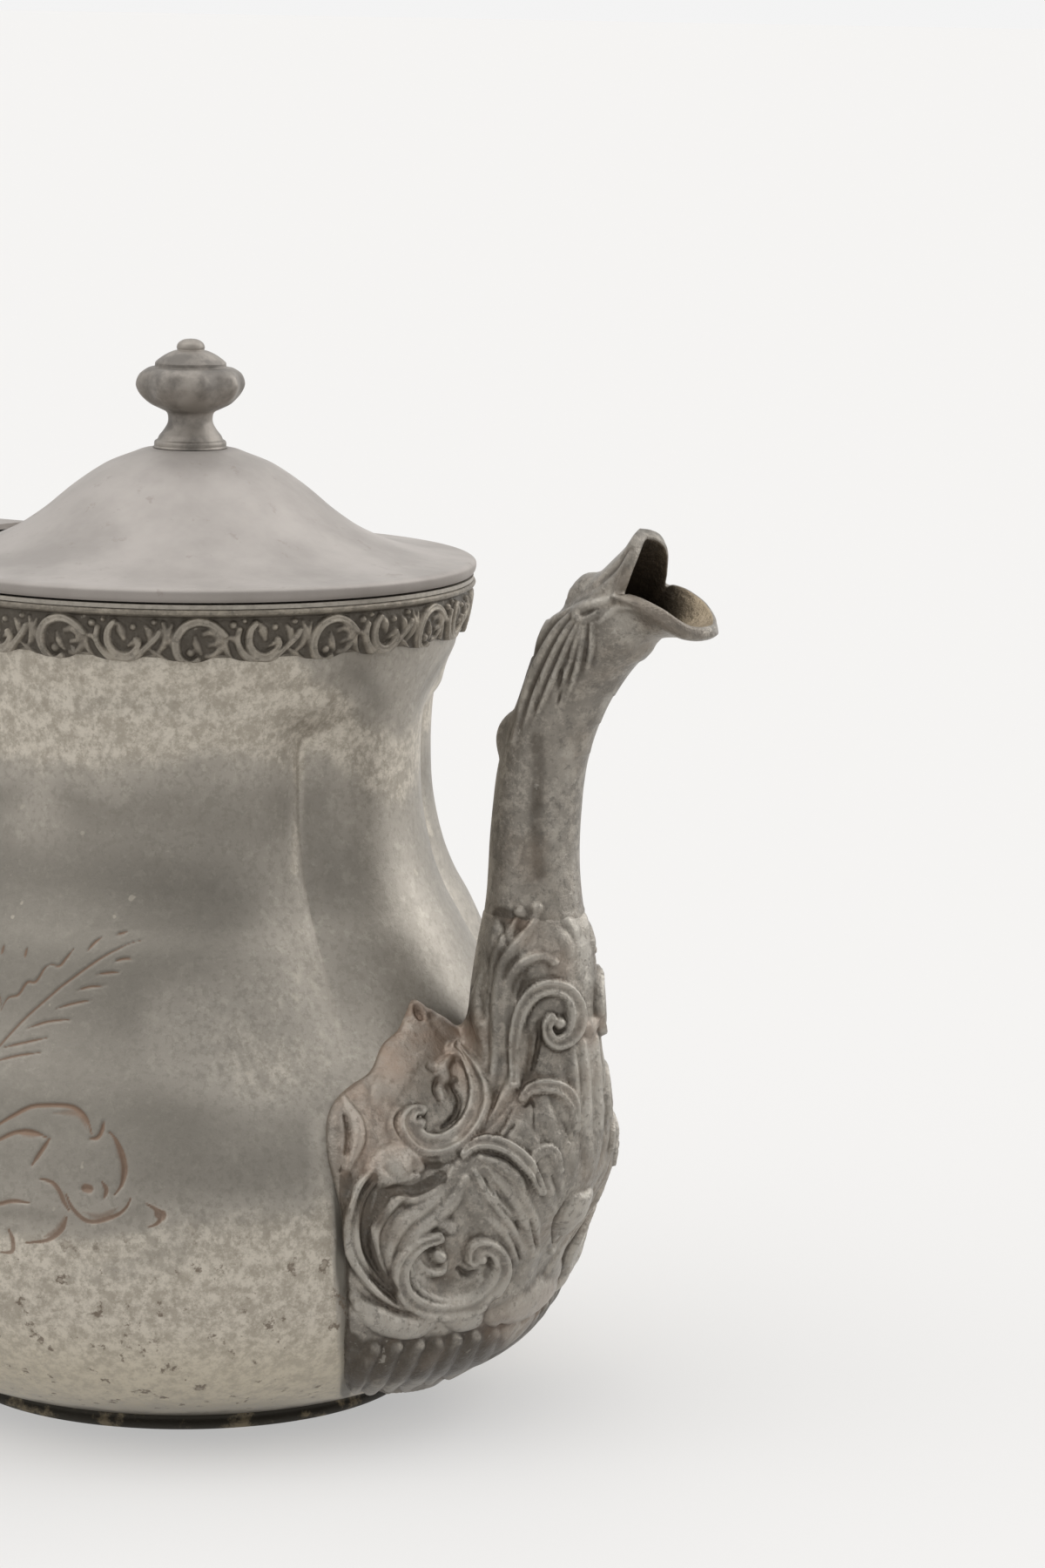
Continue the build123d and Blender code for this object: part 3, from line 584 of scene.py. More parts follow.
# Spout below the neck: level sections as (height, centre, half depth, half width)
BULGE = np.array([
    (4, 45, 6, 8), (8, 48, 7.5, 11), (12, 51, 8.7, 13.7), (15.5, 54, 9.7, 15.6), (18, 55.3, 10.8, 16.8),
    (21, 56.4, 11.8, 17.8), (24, 57, 12.5, 19.2), (28, 57.5, 13.6, 20.8), (31, 58.1, 15.1, 22.2),
    (34.6, 58.8, 16.6, 23.3), (38, 59.8, 17.9, 24), (41, 60.2, 18.6, 24.3), (44, 60.7, 19.5, 24.6),
    (47, 61, 19.8, 24.3), (50, 62.2, 18.9, 22.6), (53, 63.8, 17.3, 20), (56, 65.6, 15.6, 17.2),
    (59, 67.4, 13.5, 14.5), (62, 68.5, 12.3, 12.6), (65, 69.1, 11.5, 11.5), (68, 69.3, 11.1, 11.1),
    (72, 69.2, 10.9, 10.9), (76, 69.2, 10.6, 10.6), (80, 69.3, 10.2, 10.2), (84, 69.3, 9.6, 9.6),
    (88, 69.0, 8.6, 8.6), (91, 68.9, 7.9, 7.9), (95, 68.8, 7.5, 7.5),
])
# Edge of the casting on the body as (azimuth, height), from the dip between its ears round to the bottom
CASTING_EDGE = [
    (0, 66), (5, 67.5), (9, 71), (12.2, 73.8), (15, 72), (18, 69.6), (22.1, 67.8), (25.9, 64.2), (30, 62.5),
    (33.2, 60.5), (35.2, 57.5), (35.9, 53), (35.4, 48), (34.7, 43), (34.2, 34), (33.6, 27), (32.6, 19),
    (29.5, 11.5), (24, 8.2), (12, 7.2), (0, 6.8),
]
NECK_CUT = 90.0
# The flat map of the body on which the casting's edge is measured, in millimetres
MAP_RADIUS = 63
MAP_STEP = 0.5
SKIN_PITCH = 0.4


def edge_distance():
    """Signed distance to the casting's edge on a flat map of the body, in millimetres."""
    line = smooth_line(CASTING_EDGE, 5)
    line[:, 0] = np.radians(line[:, 0]) * MAP_RADIUS
    s, z = np.meshgrid(np.arange(0, 60, MAP_STEP), np.arange(0, 96, MAP_STEP))
    best = np.full(s.shape, 1e9)
    inside = np.zeros(s.shape, bool)
    for a, b in zip(line[:-1], line[1:]):
        leg = b - a
        along = np.clip(((s - a[0]) * leg[0] + (z - a[1]) * leg[1]) / max(leg @ leg, 1e-9), 0, 1)
        best = np.minimum(best, np.hypot(s - a[0] - along * leg[0], z - a[1] - along * leg[1]))
        crosses = ((a[1] > z) != (b[1] > z)) & (s < a[0] + (z - a[1]) / (b[1] - a[1] + 1e-9) * leg[0])
        inside ^= crosses
    return np.where(inside, -best, best)


def soft_union(a, b, reach):
    """Two distances joined with a fillet."""
    h = np.clip(0.5 + 0.5 * (b - a) / reach, 0, 1)
    return b + (a - b) * h - reach * h * (1 - h)


CUBE = list(itertools.product((0, 1), repeat=3))


def level_skin(field, low, pitch):
    """Quads of the surface where a field sampled on a lattice is zero."""
    inside = field < 0
    cells = np.zeros(tuple(n - 1 for n in field.shape), np.uint8)
    for corner in CUBE:
        cells += inside[tuple(slice(c, c + n) for c, n in zip(corner, cells.shape))]
    where = np.argwhere((cells > 0) & (cells < 8))
    number = np.full(cells.shape, -1, np.int32)
    number[tuple(where.T)] = np.arange(len(where))
    corners = {corner: field[tuple((where + corner).T)] for corner in CUBE}
    total = np.zeros((len(where), 3))
    count = np.zeros(len(where))
    for start in corners:
        for axis in range(3):
            if start[axis]:
                continue
            end = tuple(v + (n == axis) for n, v in enumerate(start))
            a, b = corners[start], corners[end]
            hit = (a < 0) != (b < 0)
            share = a / np.where(hit, a - b, 1)
            place = np.array(start, float)[None, :] + np.eye(3)[axis] * share[:, None]
            total += np.where(hit[:, None], place, 0)
            count += hit
    points = (where + total / count[:, None]) * pitch + low
    quads = []
    for axis in range(3):
        u, v = (axis + 1) % 3, (axis + 2) % 3
        first = [slice(1, n - 1) for n in field.shape]
        first[axis] = slice(0, field.shape[axis] - 1)
        second = list(first)
        second[axis] = slice(1, field.shape[axis])
        a, b = inside[tuple(first)], inside[tuple(second)]
        spots = np.argwhere(a != b)
        forward = a[tuple(spots.T)]
        spots = spots + 1
        spots[:, axis] -= 1
        ring = []
        for du, dv in ((0, 0), (1, 0), (1, 1), (0, 1)):
            cell = spots.copy()
            cell[:, u] -= du
            cell[:, v] -= dv
            ring.append(number[tuple(cell.T)])
        ring = np.stack(ring, 1)
        ring[~forward] = ring[~forward][:, ::-1]
        quads.append(ring)
    return points, np.concatenate(quads)


def casting_field(pitch):
    """Distance to the plain form of the casting below the neck, sampled on the near half and mirrored."""
    low = np.array([43.0, -43.0, 4.0])
    x = np.arange(low[0], 92, pitch, dtype=np.float32)[:, None, None]
    y = np.arange(low[1], pitch / 4, pitch, dtype=np.float32)[None, :, None]
    z = np.arange(low[2], 92, pitch, dtype=np.float32)[None, None, :]
    centre, deep, wide = (np.interp(z, BULGE[:, 0], BULGE[:, n]).astype(np.float32) for n in (1, 2, 3))
    gx, gy = (x - centre) / deep**2, y / wide**2
    bulge = ((x - centre) * gx + y * gy - 1) / (2 * np.sqrt(gx**2 + gy**2) + 1e-6)
    bulge = bulge + np.maximum(0, z - NECK_CUT + 1.4) * 0.9
    azimuth = np.degrees(np.arctan2(-y, x))
    table_az = np.arange(0, 80, MAP_STEP)
    table = body_surface(table_az[:, None], z[0, 0][None, :])
    row = np.clip(azimuth / MAP_STEP, 0, len(table_az) - 1.01)
    i = row.astype(int)
    k = np.arange(z.size)[None, None, :]
    body = (table[i, k] * (1 - (row - i)) + table[i + 1, k] * (row - i)).astype(np.float32)
    outside = np.hypot(x, y) - body
    edge = edge_distance()
    s = np.clip(np.radians(azimuth) * MAP_RADIUS / MAP_STEP, 0, edge.shape[1] - 1.01)
    t = np.clip(z / MAP_STEP, 0, edge.shape[0] - 1.01)
    si, ti = s.astype(int), t.astype(int)
    fs, ft = s - si, t - ti
    rim = (edge[ti, si] * (1 - fs) + edge[ti, si + 1] * fs) * (1 - ft)
    rim = (rim + (edge[ti + 1, si] * (1 - fs) + edge[ti + 1, si + 1] * fs) * ft).astype(np.float32)
    plate = outside - 1.5 - 0.9 * ease(-rim / 5)
    shield = -soft_union(-plate, -rim, 1.6)
    form = soft_union(bulge, shield, 5.0)
    form = np.maximum(form, -(outside + 0.8))
    form = np.concatenate([form, form[:, -2::-1]], 1)
    return form, low


# Relief of the casting, traced in picture pixels. Heights are millimetres over the plain form.
casting = Relief(365, 600, 860, 1640, 0.8, 1.4)


ridge, band, cut, boss, hatch = casting.ridge, casting.band, casting.cut, casting.boss, casting.hatch


def draw_upper_relief():
    """Leaf fan, curls and edge lines round the beak."""
    for line in [
        [(660, 702), (640, 722), (618, 760), (602, 800), (592, 838)],
        [(664, 706), (648, 728), (628, 768), (612, 806), (602, 832)],
        [(667, 710), (655, 734), (640, 768), (626, 800), (614, 826)],
        [(670, 712), (662, 738), (650, 772), (638, 804)], [(673, 714), (668, 742), (660, 775), (650, 802)],
        [(656, 700), (632, 716), (610, 750), (596, 785), (588, 815)], [(680, 716), (679, 745), (673, 772)],
    ]:
        ridge(line, 3.0, 0.7, (0.3, 0.6))
    cut([(645, 770), (643, 787), (641, 806)], 5.0, 0.55)
    cut([(622, 778), (617, 798), (614, 815)], 3.2, 0.4)
    cut([(655, 752), (650, 768)], 2.4, 0.35)
    ridge([(712, 685), (698, 689), (684, 693), (671, 697), (663, 703), (665, 711), (674, 711), (684, 704)],
          5.5, 0.85, (0.5, 0.4))
    cut([(676, 704), (684, 700), (696, 696)], 2.5, 0.35)
    ridge([(683, 708), (686, 716), (694, 710), (706, 700), (722, 697), (738, 700)], 3.2, 0.4, (0.6, 0.8))
    ridge([(734, 620), (716, 638), (700, 654), (684, 668), (670, 680)], 3.6, 0.4, (0.5, 0.5))
    ridge([(728, 640), (712, 658), (696, 672), (680, 684)], 3.0, 0.35, (0.6, 0.5))
    cut([(728, 632), (708, 652), (690, 667)], 2.4, 0.3)
    ridge([(592, 838), (590, 850), (584, 858)], 3.0, 0.5, (0.2, 0.8))


def draw_leaf_masses():
    """Broad leaf masses under the scrolls."""
    for line, width, height in [
        ([(524, 1345), (560, 1400), (590, 1450)], 15, 0.55),
        ([(600, 1290), (630, 1340), (648, 1400)], 13, 0.5),
        ([(640, 1215), (652, 1290), (664, 1350)], 12, 0.5),
        ([(600, 1090), (592, 1150), (588, 1230)], 10, 0.5),
        ([(432, 1302), (448, 1246), (486, 1212)], 16, 0.4),
        ([(470, 1470), (520, 1440), (530, 1375)], 14, 0.45),
        ([(484, 1402), (505, 1380), (530, 1335)], 13, 0.6),
        ([(648, 1440), (625, 1480), (585, 1515)], 14, 0.7),
        ([(615, 1440), (596, 1476), (560, 1500)], 12, 0.8),
        ([(690, 1380), (672, 1440), (640, 1478)], 10, 0.6), ([(660, 1240), (676, 1320), (684, 1380)], 9, 0.5),
        ([(560, 1150), (556, 1200), (566, 1262)], 8, 0.4), ([(630, 1060), (640, 1100), (664, 1150)], 12, 0.4),
        ([(576, 1130), (566, 1080), (572, 1050)], 9, 0.35),
    ]:
        ridge(line, width / 1.4, height, (0.5, 0.6))


def draw_ear():
    """Ear and left leaf."""
    cut([(478, 1158), (484, 1166)], 8, 1.3, (0, 0))
    ridge([(466, 1152), (455, 1172), (440, 1192)], 6, 0.8, (0.4, 0.8))
    ridge([(496, 1160), (511, 1178), (530, 1196)], 6, 0.7, (0.4, 0.6))
    ridge([(393, 1258), (404, 1278), (411, 1298), (408, 1320), (398, 1347)], 7, 1.3, (0.6, 0.6))
    cut([(396, 1280), (400, 1300), (398, 1325), (391, 1345)], 5, 0.8)
    ridge([(437, 1228), (434, 1245), (431, 1270), (434, 1290)], 6, 0.55, (0.7, 0.7))
    ridge([(453, 1228), (447, 1245), (446, 1262)], 5, 0.5, (0.7, 0.7))
    ridge([(420, 1222), (415, 1245), (418, 1275), (425, 1300)], 6, 0.5, (0.7, 0.7))
    cut([(484, 1233), (476, 1248), (463, 1268)], 3.5, 0.6)


def draw_round_scroll():
    """Big round scroll beside the neck."""
    band([(520, 1204), (535, 1214), (547, 1230), (553, 1252), (550, 1275), (540, 1294), (525, 1308),
          (505, 1316), (485, 1314), (471, 1304), (464, 1290), (470, 1278), (480, 1276)],
          12, 1.7, 0.4, 0.4, (0.45, 0.5))
    boss((479, 1292), 8.5, 1.9)
    ridge([(562, 1262), (551, 1292), (535, 1315), (510, 1330), (485, 1331), (462, 1317), (450, 1300),
           (449, 1284), (458, 1272)], 3.8, 1.0, (0.3, 0.5))
    ridge([(528, 1210), (515, 1216), (507, 1227), (512, 1240), (521, 1240)], 5.5, 1.5, (0.5, 0.5))
    cut([(503, 1236), (501, 1250), (505, 1262)], 6, 1.1)
    cut([(520, 1248), (527, 1262), (522, 1280), (508, 1294)], 4.5, 0.8)
    cut([(492, 1224), (500, 1230)], 4, 0.7, (0, 0))


def draw_shell_scroll():
    """Big shell scroll on the left."""
    cut([(497, 1352), (480, 1366), (455, 1371), (432, 1382), (421, 1402), (419, 1430), (428, 1452)],
        12, 1.1, (0.3, 0.5))
    ridge([(478, 1350), (462, 1353), (446, 1355), (434, 1350), (430, 1338), (440, 1326), (456, 1320),
           (470, 1326), (480, 1340)], 8, 1.5, (0.5, 0.2))
    boss((455, 1337), 20, 1.7)
    ridge([(444, 1333), (427, 1344), (413, 1359), (404, 1380), (400, 1400), (400, 1420), (404, 1441),
           (413, 1459), (426, 1476), (441, 1490), (459, 1500), (477, 1504), (502, 1505)],
           4.2, 1.55, (0.1, 0.6))
    ridge([(446, 1345), (430, 1356), (418, 1372), (411, 1392), (409, 1415), (412, 1436), (421, 1453),
           (434, 1469), (450, 1482), (468, 1491)], 3.6, 1.25, (0.2, 0.7))
    ridge([(510, 1352), (501, 1366), (486, 1373), (471, 1377), (459, 1375), (446, 1386), (436, 1399),
           (429, 1416), (430, 1436), (437, 1456), (451, 1476), (470, 1491)], 5.5, 1.2, (0.4, 0.5))


def draw_acanthus():
    """Acanthus sweeps."""
    for line in [
        [(520, 1342), (508, 1368), (484, 1388), (462, 1404), (449, 1430), (446, 1456)],
        [(526, 1366), (510, 1390), (484, 1410), (467, 1430), (460, 1450)],
        [(536, 1352), (522, 1376), (502, 1396), (478, 1418)],
    ]:
        ridge(line, 7.5, 1.15, (0.5, 0.6))
    ridge([(498, 1403), (514, 1408), (531, 1419)], 7, 1.2, (0.3, 0.8))
    ridge([(470, 1440), (455, 1450), (448, 1470)], 5, 0.9, (0.6, 0.6))


def draw_lower_scroll():
    """Lower scroll with its ball."""
    band([(502, 1420), (482, 1427), (467, 1439), (458, 1455), (458, 1474), (468, 1491), (490, 1502),
          (515, 1503), (540, 1496), (560, 1480), (572, 1460), (573, 1445), (565, 1432), (552, 1428),
          (542, 1434), (540, 1444)], 9.5, 1.7, 0.4, 0.35, (0.4, 0.3))
    ridge([(471, 1456), (477, 1475), (492, 1487), (516, 1491), (539, 1484), (554, 1466)],
          3.2, 1.1, (0.4, 0.5))
    boss((502, 1440), 9.5, 2.0)
    ridge([(510, 1448), (505, 1458), (491, 1459), (481, 1449)], 4.5, 1.3, (0.3, 0.6))
    boss((549, 1441), 8.5, 1.9)
    cut([(526, 1456), (538, 1464), (550, 1460)], 7, 1.0)
    cut([(556, 1494), (566, 1488)], 5, 0.7, (0, 0))
    cut([(528, 1326), (536, 1334)], 6, 0.9, (0, 0))


def draw_right_arch():
    """Right arch and the flow below it."""
    band([(533, 1326), (545, 1316), (560, 1312), (576, 1315), (590, 1323), (602, 1334), (612, 1348),
          (620, 1366)], 8, 1.5, 0.4, 0.35, (0.5, 0.5))
    for line in [
        [(560, 1340), (578, 1360), (596, 1385), (608, 1412), (612, 1436)],
        [(545, 1345), (562, 1372), (582, 1398), (598, 1428)],
        [(545, 1390), (566, 1402), (583, 1422), (593, 1446)],
        [(582, 1350), (600, 1376), (612, 1402), (618, 1428)],
        [(552, 1328), (575, 1338), (594, 1354), (608, 1376)],
    ]:
        ridge(line, 6.5, 1.0, (0.5, 0.7))
    for line in [
        [(571, 1380), (588, 1400), (599, 1412)], [(583, 1414), (594, 1434), (599, 1447)],
        [(606, 1398), (613, 1420), (617, 1432)], [(585, 1446), (590, 1454)], [(556, 1352), (566, 1370)],
    ]:
        cut(line, 3.2, 0.7)


def draw_neck_leaves():
    """Leaves up the neck."""
    boss((597, 1048), 7.5, 0.7)
    boss((617, 1042), 7, 0.7)
    boss((636, 1105), 6, 1.1)
    ridge([(617, 1046), (612, 1060), (600, 1076), (588, 1091), (579, 1108), (575, 1130), (572, 1160),
           (570, 1200), (566, 1240), (556, 1268)], 6.5, 1.15, (0.5, 0.4))
    ridge([(597, 1050), (588, 1066), (577, 1084), (568, 1108), (562, 1140)], 5, 0.8, (0.4, 0.7))
    ridge([(636, 1103), (620, 1098), (605, 1103), (593, 1113), (585, 1127), (581, 1145), (579, 1170),
           (578, 1205)], 6, 1.15, (0.3, 0.5))
    ridge([(632, 1062), (644, 1074), (652, 1092), (650, 1110)], 7, 0.7, (0.7, 0.7))
    ridge([(646, 1050), (656, 1064), (664, 1084)], 6, 0.6, (0.7, 0.7))
    cut([(602, 1126), (599, 1140), (597, 1160), (592, 1195)], 5, 1.0, (0.3, 0.7))
    cut([(576, 1060), (580, 1072), (584, 1084)], 3.5, 0.6)
    cut([(590, 1074), (597, 1062)], 3, 0.5)
    cut([(545, 1143), (544, 1165)], 4, 0.8)
    boss((554, 1177), 6, 1.0)
    ridge([(552, 1120), (546, 1145), (549, 1170), (556, 1195), (562, 1225)], 5, 0.8, (0.6, 0.6))


def draw_volute():
    """Volute on the neck."""
    band([(592, 1245), (592, 1205), (595, 1177), (603, 1153), (615, 1139), (630, 1133), (645, 1136),
          (655, 1146), (660, 1161), (658, 1180), (650, 1192), (639, 1197), (630, 1190), (627, 1178),
          (632, 1168)], 8.5, 1.6, 0.4, 0.35, (0.4, 0.4))
    boss((641, 1174), 8, 1.6)
    ridge([(600, 1165), (600, 1192), (597, 1215), (590, 1240), (575, 1266), (555, 1292)],
          6.5, 1.1, (0.5, 0.4))
    cut([(621, 1182), (617, 1206), (611, 1230)], 4.5, 0.8)
    hatch(612, 1203, 650, 1244, 0.5, 4.2, 0.25)
    hatch(640, 1098, 664, 1130, 0.5, 4.2, 0.25)


def draw_strap():
    """Strap."""
    ridge([(654, 1190), (662, 1181), (672, 1178), (681, 1183)], 6, 0.7)
    hatch(530, 1340, 625, 1440, 0.7, 5.0, 0.12)
    hatch(440, 1380, 500, 1440, -0.7, 5.0, 0.12)
    for x in (661, 674):
        ridge([(x - 4, 1196), (x - 2, 1230), (x, 1280), (x - 2, 1350)], 4.6, 0.75, (0.5, 0.6))
    hatch(655, 1200, 700, 1340, 0.2, 4.0, 0.15)
    cut([(697, 1310), (692, 1326), (686, 1346)], 3.5, 0.7)


def draw_arch_leaf():
    """Arch leaf right of the stem."""
    band([(600, 1262), (609, 1251), (625, 1246), (641, 1249), (651, 1258), (657, 1272), (660, 1295)],
         7.5, 1.35, 0.4, 0.3, (0.4, 0.6))
    cut([(603, 1270), (610, 1264), (615, 1274), (615, 1295), (621, 1312)], 3.8, 0.85)
    cut([(640, 1275), (648, 1291), (654, 1310)], 3.2, 0.7)
    ridge([(626, 1262), (630, 1285), (637, 1305), (645, 1320)], 8, 0.8, (0.4, 0.7))
    for line in [
        [(588, 1273), (576, 1296), (562, 1308)], [(574, 1247), (567, 1270), (555, 1294), (541, 1312)],
        [(592, 1290), (578, 1306)],
    ]:
        cut(line, 3.2, 0.7)
    hatch(624, 1285, 662, 1326, 0.4, 4.0, 0.18)
    band([(610, 1333), (619, 1322), (630, 1319), (637, 1327), (641, 1342)], 5.5, 1.0, 0.4, 0.3)
    cut([(632, 1348), (637, 1360), (640, 1374)], 3.4, 0.7)
    cut([(614, 1340), (616, 1360)], 3.4, 0.6)
    ridge([(625, 1345), (630, 1370), (640, 1395)], 6, 0.7, (0.5, 0.7))


def draw_egg():
    """Egg."""
    for share in np.linspace(-1, 1, 9):
        boss((661 + 6 * share, 1402 - 26 * share), 17 * math.sqrt(1 - 0.75 * share**2), 1.5)
    ridge([(678, 1362), (684, 1382), (684, 1400), (677, 1418), (665, 1434)], 3.4, 1.2, (0.4, 0.5))
    cut([(636, 1428), (638, 1404), (648, 1380)], 4, 0.8)
    boss((634, 1437), 4, 0.9)


def draw_shells_and_flutes():
    """Shell pieces and flutes."""
    boss((413, 1497), 9, 1.4)
    ridge([(408, 1488), (424, 1506), (448, 1519), (474, 1521), (490, 1514)], 12, 1.7, (0.5, 0.2))
    ridge([(508, 1506), (524, 1515), (542, 1510), (552, 1500)], 10, 1.5, (0.3, 0.5))
    ridge([(566, 1512), (588, 1503), (612, 1486), (630, 1464)], 12, 1.4, (0.3, 0.5))
    ridge([(642, 1452), (634, 1476), (616, 1500)], 8, 1.0, (0.4, 0.6))
    cut([(418, 1532), (445, 1541), (472, 1540), (492, 1531)], 4, 0.9, (0.3, 0.3))
    cut([(499, 1508), (499, 1526)], 3.5, 0.8)
    cut([(573, 1520), (580, 1526)], 5, 0.8, (0, 0))
    for line in [
        [(455, 1545), (436, 1574), (424, 1597)], [(480, 1543), (462, 1567), (446, 1592)],
        [(503, 1543), (483, 1570), (466, 1590)], [(524, 1538), (507, 1560), (492, 1582)],
        [(546, 1534), (530, 1556), (514, 1576)], [(568, 1530), (552, 1548), (538, 1566)],
        [(430, 1548), (416, 1570), (408, 1592)], [(590, 1520), (576, 1536), (560, 1552)],
    ]:
        ridge(line, 9.0, 1.5, (0.3, 0.4))


# The order matters, because later strokes cut into earlier ones
for draw in (
    draw_upper_relief, draw_leaf_masses, draw_ear, draw_round_scroll, draw_shell_scroll, draw_acanthus,
    draw_lower_scroll, draw_right_arch, draw_neck_leaves, draw_volute, draw_strap, draw_arch_leaf, draw_egg,
    draw_shells_and_flutes,
):
    draw()
casting.soften(1)
# How far each spot lies below its surroundings; the finish paints shade into hollows and highlight onto
# crests
casting_hollows = casting.hollows(8)
# Where the casting is worn light, and below zero where it is dark, with painted light and shade among them
# Painted light among them: a painted highlight down the neck and a painted reflection on its right edge,
# painted shadow along the casting's left edge, and painted shade in the big shell's recesses and the ear's
# hollow.
WEAR_AND_LIGHT_STROKES = [
    ([(440, 1215), (475, 1185), (515, 1200)], 55, 0.75), ([(400, 1270), (404, 1320)], 14, 0.35),
    ([(448, 1326), (466, 1340)], 22, 0.5), ([(415, 1505), (450, 1520), (490, 1520), (540, 1515)], 18, 0.6),
    ([(420, 1480), (402, 1400), (430, 1340)], 10, 0.35), ([(470, 1455), (500, 1498), (560, 1470)], 24, 0.35),
    ([(664, 1380), (655, 1420)], 24, 0.4), ([(648, 870), (640, 930), (642, 1000)], 22, 0.22),
    ([(702, 800), (680, 880), (669, 960), (667, 1030)], 14, 0.4), ([(600, 880), (590, 1000)], 16, 0.12),
    ([(618, 850), (618, 1000)], 14, -0.2), ([(700, 690), (720, 720)], 26, 0.35),
    ([(660, 1050), (680, 1130)], 14, 0.3), ([(500, 1380), (460, 1430)], 26, 0.25),
    ([(590, 1500), (620, 1480)], 16, 0.4), ([(640, 1140), (655, 1160)], 14, 0.2),
    ([(674, 1210), (674, 1290)], 18, 0.35), ([(560, 1370), (600, 1420)], 26, 0.15),
    ([(484, 1300), (520, 1305)], 12, 0.3), ([(397, 1600), (394, 1470), (397, 1350)], 9, -1.3),
    ([(424, 1352), (416, 1400), (428, 1452), (446, 1478)], 11, -1.2), ([(440, 1372), (432, 1400)], 12, -0.6),
    ([(410, 1560), (470, 1560), (560, 1545)], 34, -0.55), ([(404, 1580), (402, 1540)], 16, -0.6),
    ([(575, 1100), (600, 1130)], 24, -0.3), ([(474, 1158), (490, 1166)], 15, -1.0),
    ([(512, 1240), (524, 1275), (500, 1296)], 10, -0.4), ([(506, 1352), (474, 1368), (450, 1366)], 10, -1.1),
    ([(540, 1140), (546, 1190)], 14, -0.5), ([(500, 1470), (540, 1470)], 12, -0.3),
    ([(575, 1050), (600, 1062)], 14, -0.5), ([(690, 1090), (694, 1170)], 12, -0.4),
    ([(620, 1180), (610, 1240)], 14, -0.4), ([(470, 1336), (500, 1336)], 10, -0.5),
]
for line, width, amount in WEAR_AND_LIGHT_STROKES:
    casting_hollows.stain(line, width, -amount)
# Where rust-brown lies over the casting
casting_rust = Relief(380, 1000, 720, 1620, 4)
RUST_STROKES = [
    ([(450, 1205), (480, 1175), (520, 1200)], 60, 0.8), ([(400, 1250), (415, 1330)], 40, 0.55),
    ([(440, 1280), (470, 1330)], 30, 0.4), ([(600, 1060), (640, 1110)], 26, 0.3),
    ([(670, 1180), (690, 1200)], 20, 0.4), ([(540, 1300), (600, 1260)], 26, 0.3),
    ([(570, 1520), (620, 1490)], 30, 0.3),
]
for line, width, amount in RUST_STROKES:
    casting_rust.stain(line, width, amount)


def vertex_normals(obj):
    """Normals at the points of a mesh object."""
    normals = np.zeros(len(obj.data.vertices) * 3, np.float32)
    obj.data.vertex_normals.foreach_get("vector", normals)
    return normals.reshape(-1, 3)


def make_spout_base():
    """Bulge and shield of the casting with their relief."""
    form, low = casting_field(SKIN_PITCH)
    points, quads = level_skin(form, low, SKIN_PITCH)
    base = make_mesh("spout_casting_base", points, quads)
    normal = vertex_normals(base)
    x, y = picture_point(points)
    height = casting.read(x, y)
    radius = np.hypot(points[:, 0], points[:, 1])
    azimuth = np.degrees(np.arctan2(points[:, 1], points[:, 0]))
    above = radius - body_surface(azimuth, points[:, 2])
    height = height * ease((above - 0.1) / 1.0) * ease((NECK_CUT + 0.4 - points[:, 2]) / 1.2)
    moved = points + normal * height[:, None]
    base.data.vertices.foreach_set("co", (moved * MM).astype(np.float32).ravel())
    # The finish paints shade where this is high and highlight where it is low
    hollow = (casting_hollows.read(x, y) - 0.12) * ease((above - 0.1) / 1.0)
    set_values(base.data, {"mark": height, "hollow": hollow, "rust": casting_rust.read(x, y)})
    base.data.update()
    return base


# Spout above the bulge: sections as (back x, back z, front x, front z, half width), bottom to mouth
NECK_SECTIONS = [
    (60.6, 88.0, 77.5, 88.0, 8.4), (61.0, 92, 76.9, 92, 7.85), (61.2, 96.5, 76.5, 96.3, 7.55),
    (61.4, 101.2, 76.4, 100.6, 7.45), (61.9, 106.8, 76.6, 105.5, 7.4), (62.6, 112.5, 77.0, 110.3, 7.35),
    (64.0, 118.2, 77.8, 114.9, 7.35), (66.3, 124.6, 79.5, 120.1, 7.35), (68.6, 130.4, 82.0, 125.1, 7.6),
    (70.7, 135.2, 84.9, 129.2, 7.9), (73.3, 138.9, 87.9, 132.6, 8.2), (76.5, 141.9, 90.8, 135.6, 8.3),
]
MOUTH_EDGE = [
    (0, 101.0, 0, 137.9), (12, 100.6, 2.3, 137.9), (25, 99.5, 4.6, 138.3), (40, 98.1, 6.4, 139.4),
    (55, 95.6, 7.7, 141.2), (70, 92.2, 8.5, 142.9), (84, 89.4, 8.6, 143.7), (93, 88.1, 8.0, 144.1),
    (102, 88.5, 7.6, 146.0), (118, 89.2, 6.5, 149.2), (135, 89.3, 4.9, 151.4), (155, 88.7, 2.6, 152.8),
    (180, 88.0, 0, 153.3),
]
MOUTH_LEAVING = [
    (0, 7, 0, 5), (25, 6.5, 2.5, 4), (55, 5, 4, 3.5), (84, 4, 2.5, 5), (100, 5, 0.5, 6), (135, 8, -0.5, 6),
    (180, 9, 0, 6.5),
]


NECK_COLUMNS = 180
NECK_WALL = 1.25
# How far the beak may reach, which keeps its lip inside the part's length
BEAK_REACH = 101.75
THROAT_LENGTH = 16.0
# Mark on the inner wall that tells the finish to paint it dark
INSIDE = -9.0


def round_mouth(rows, near, hand):
    """Points round the mouth from (turn, x, y, z) rows of its near half."""
    rows = np.asarray(rows, float)
    points = np.stack([np.interp(near, rows[:, 0], rows[:, n]) for n in (1, 2, 3)], 1)
    points[:, 1] *= hand
    return points


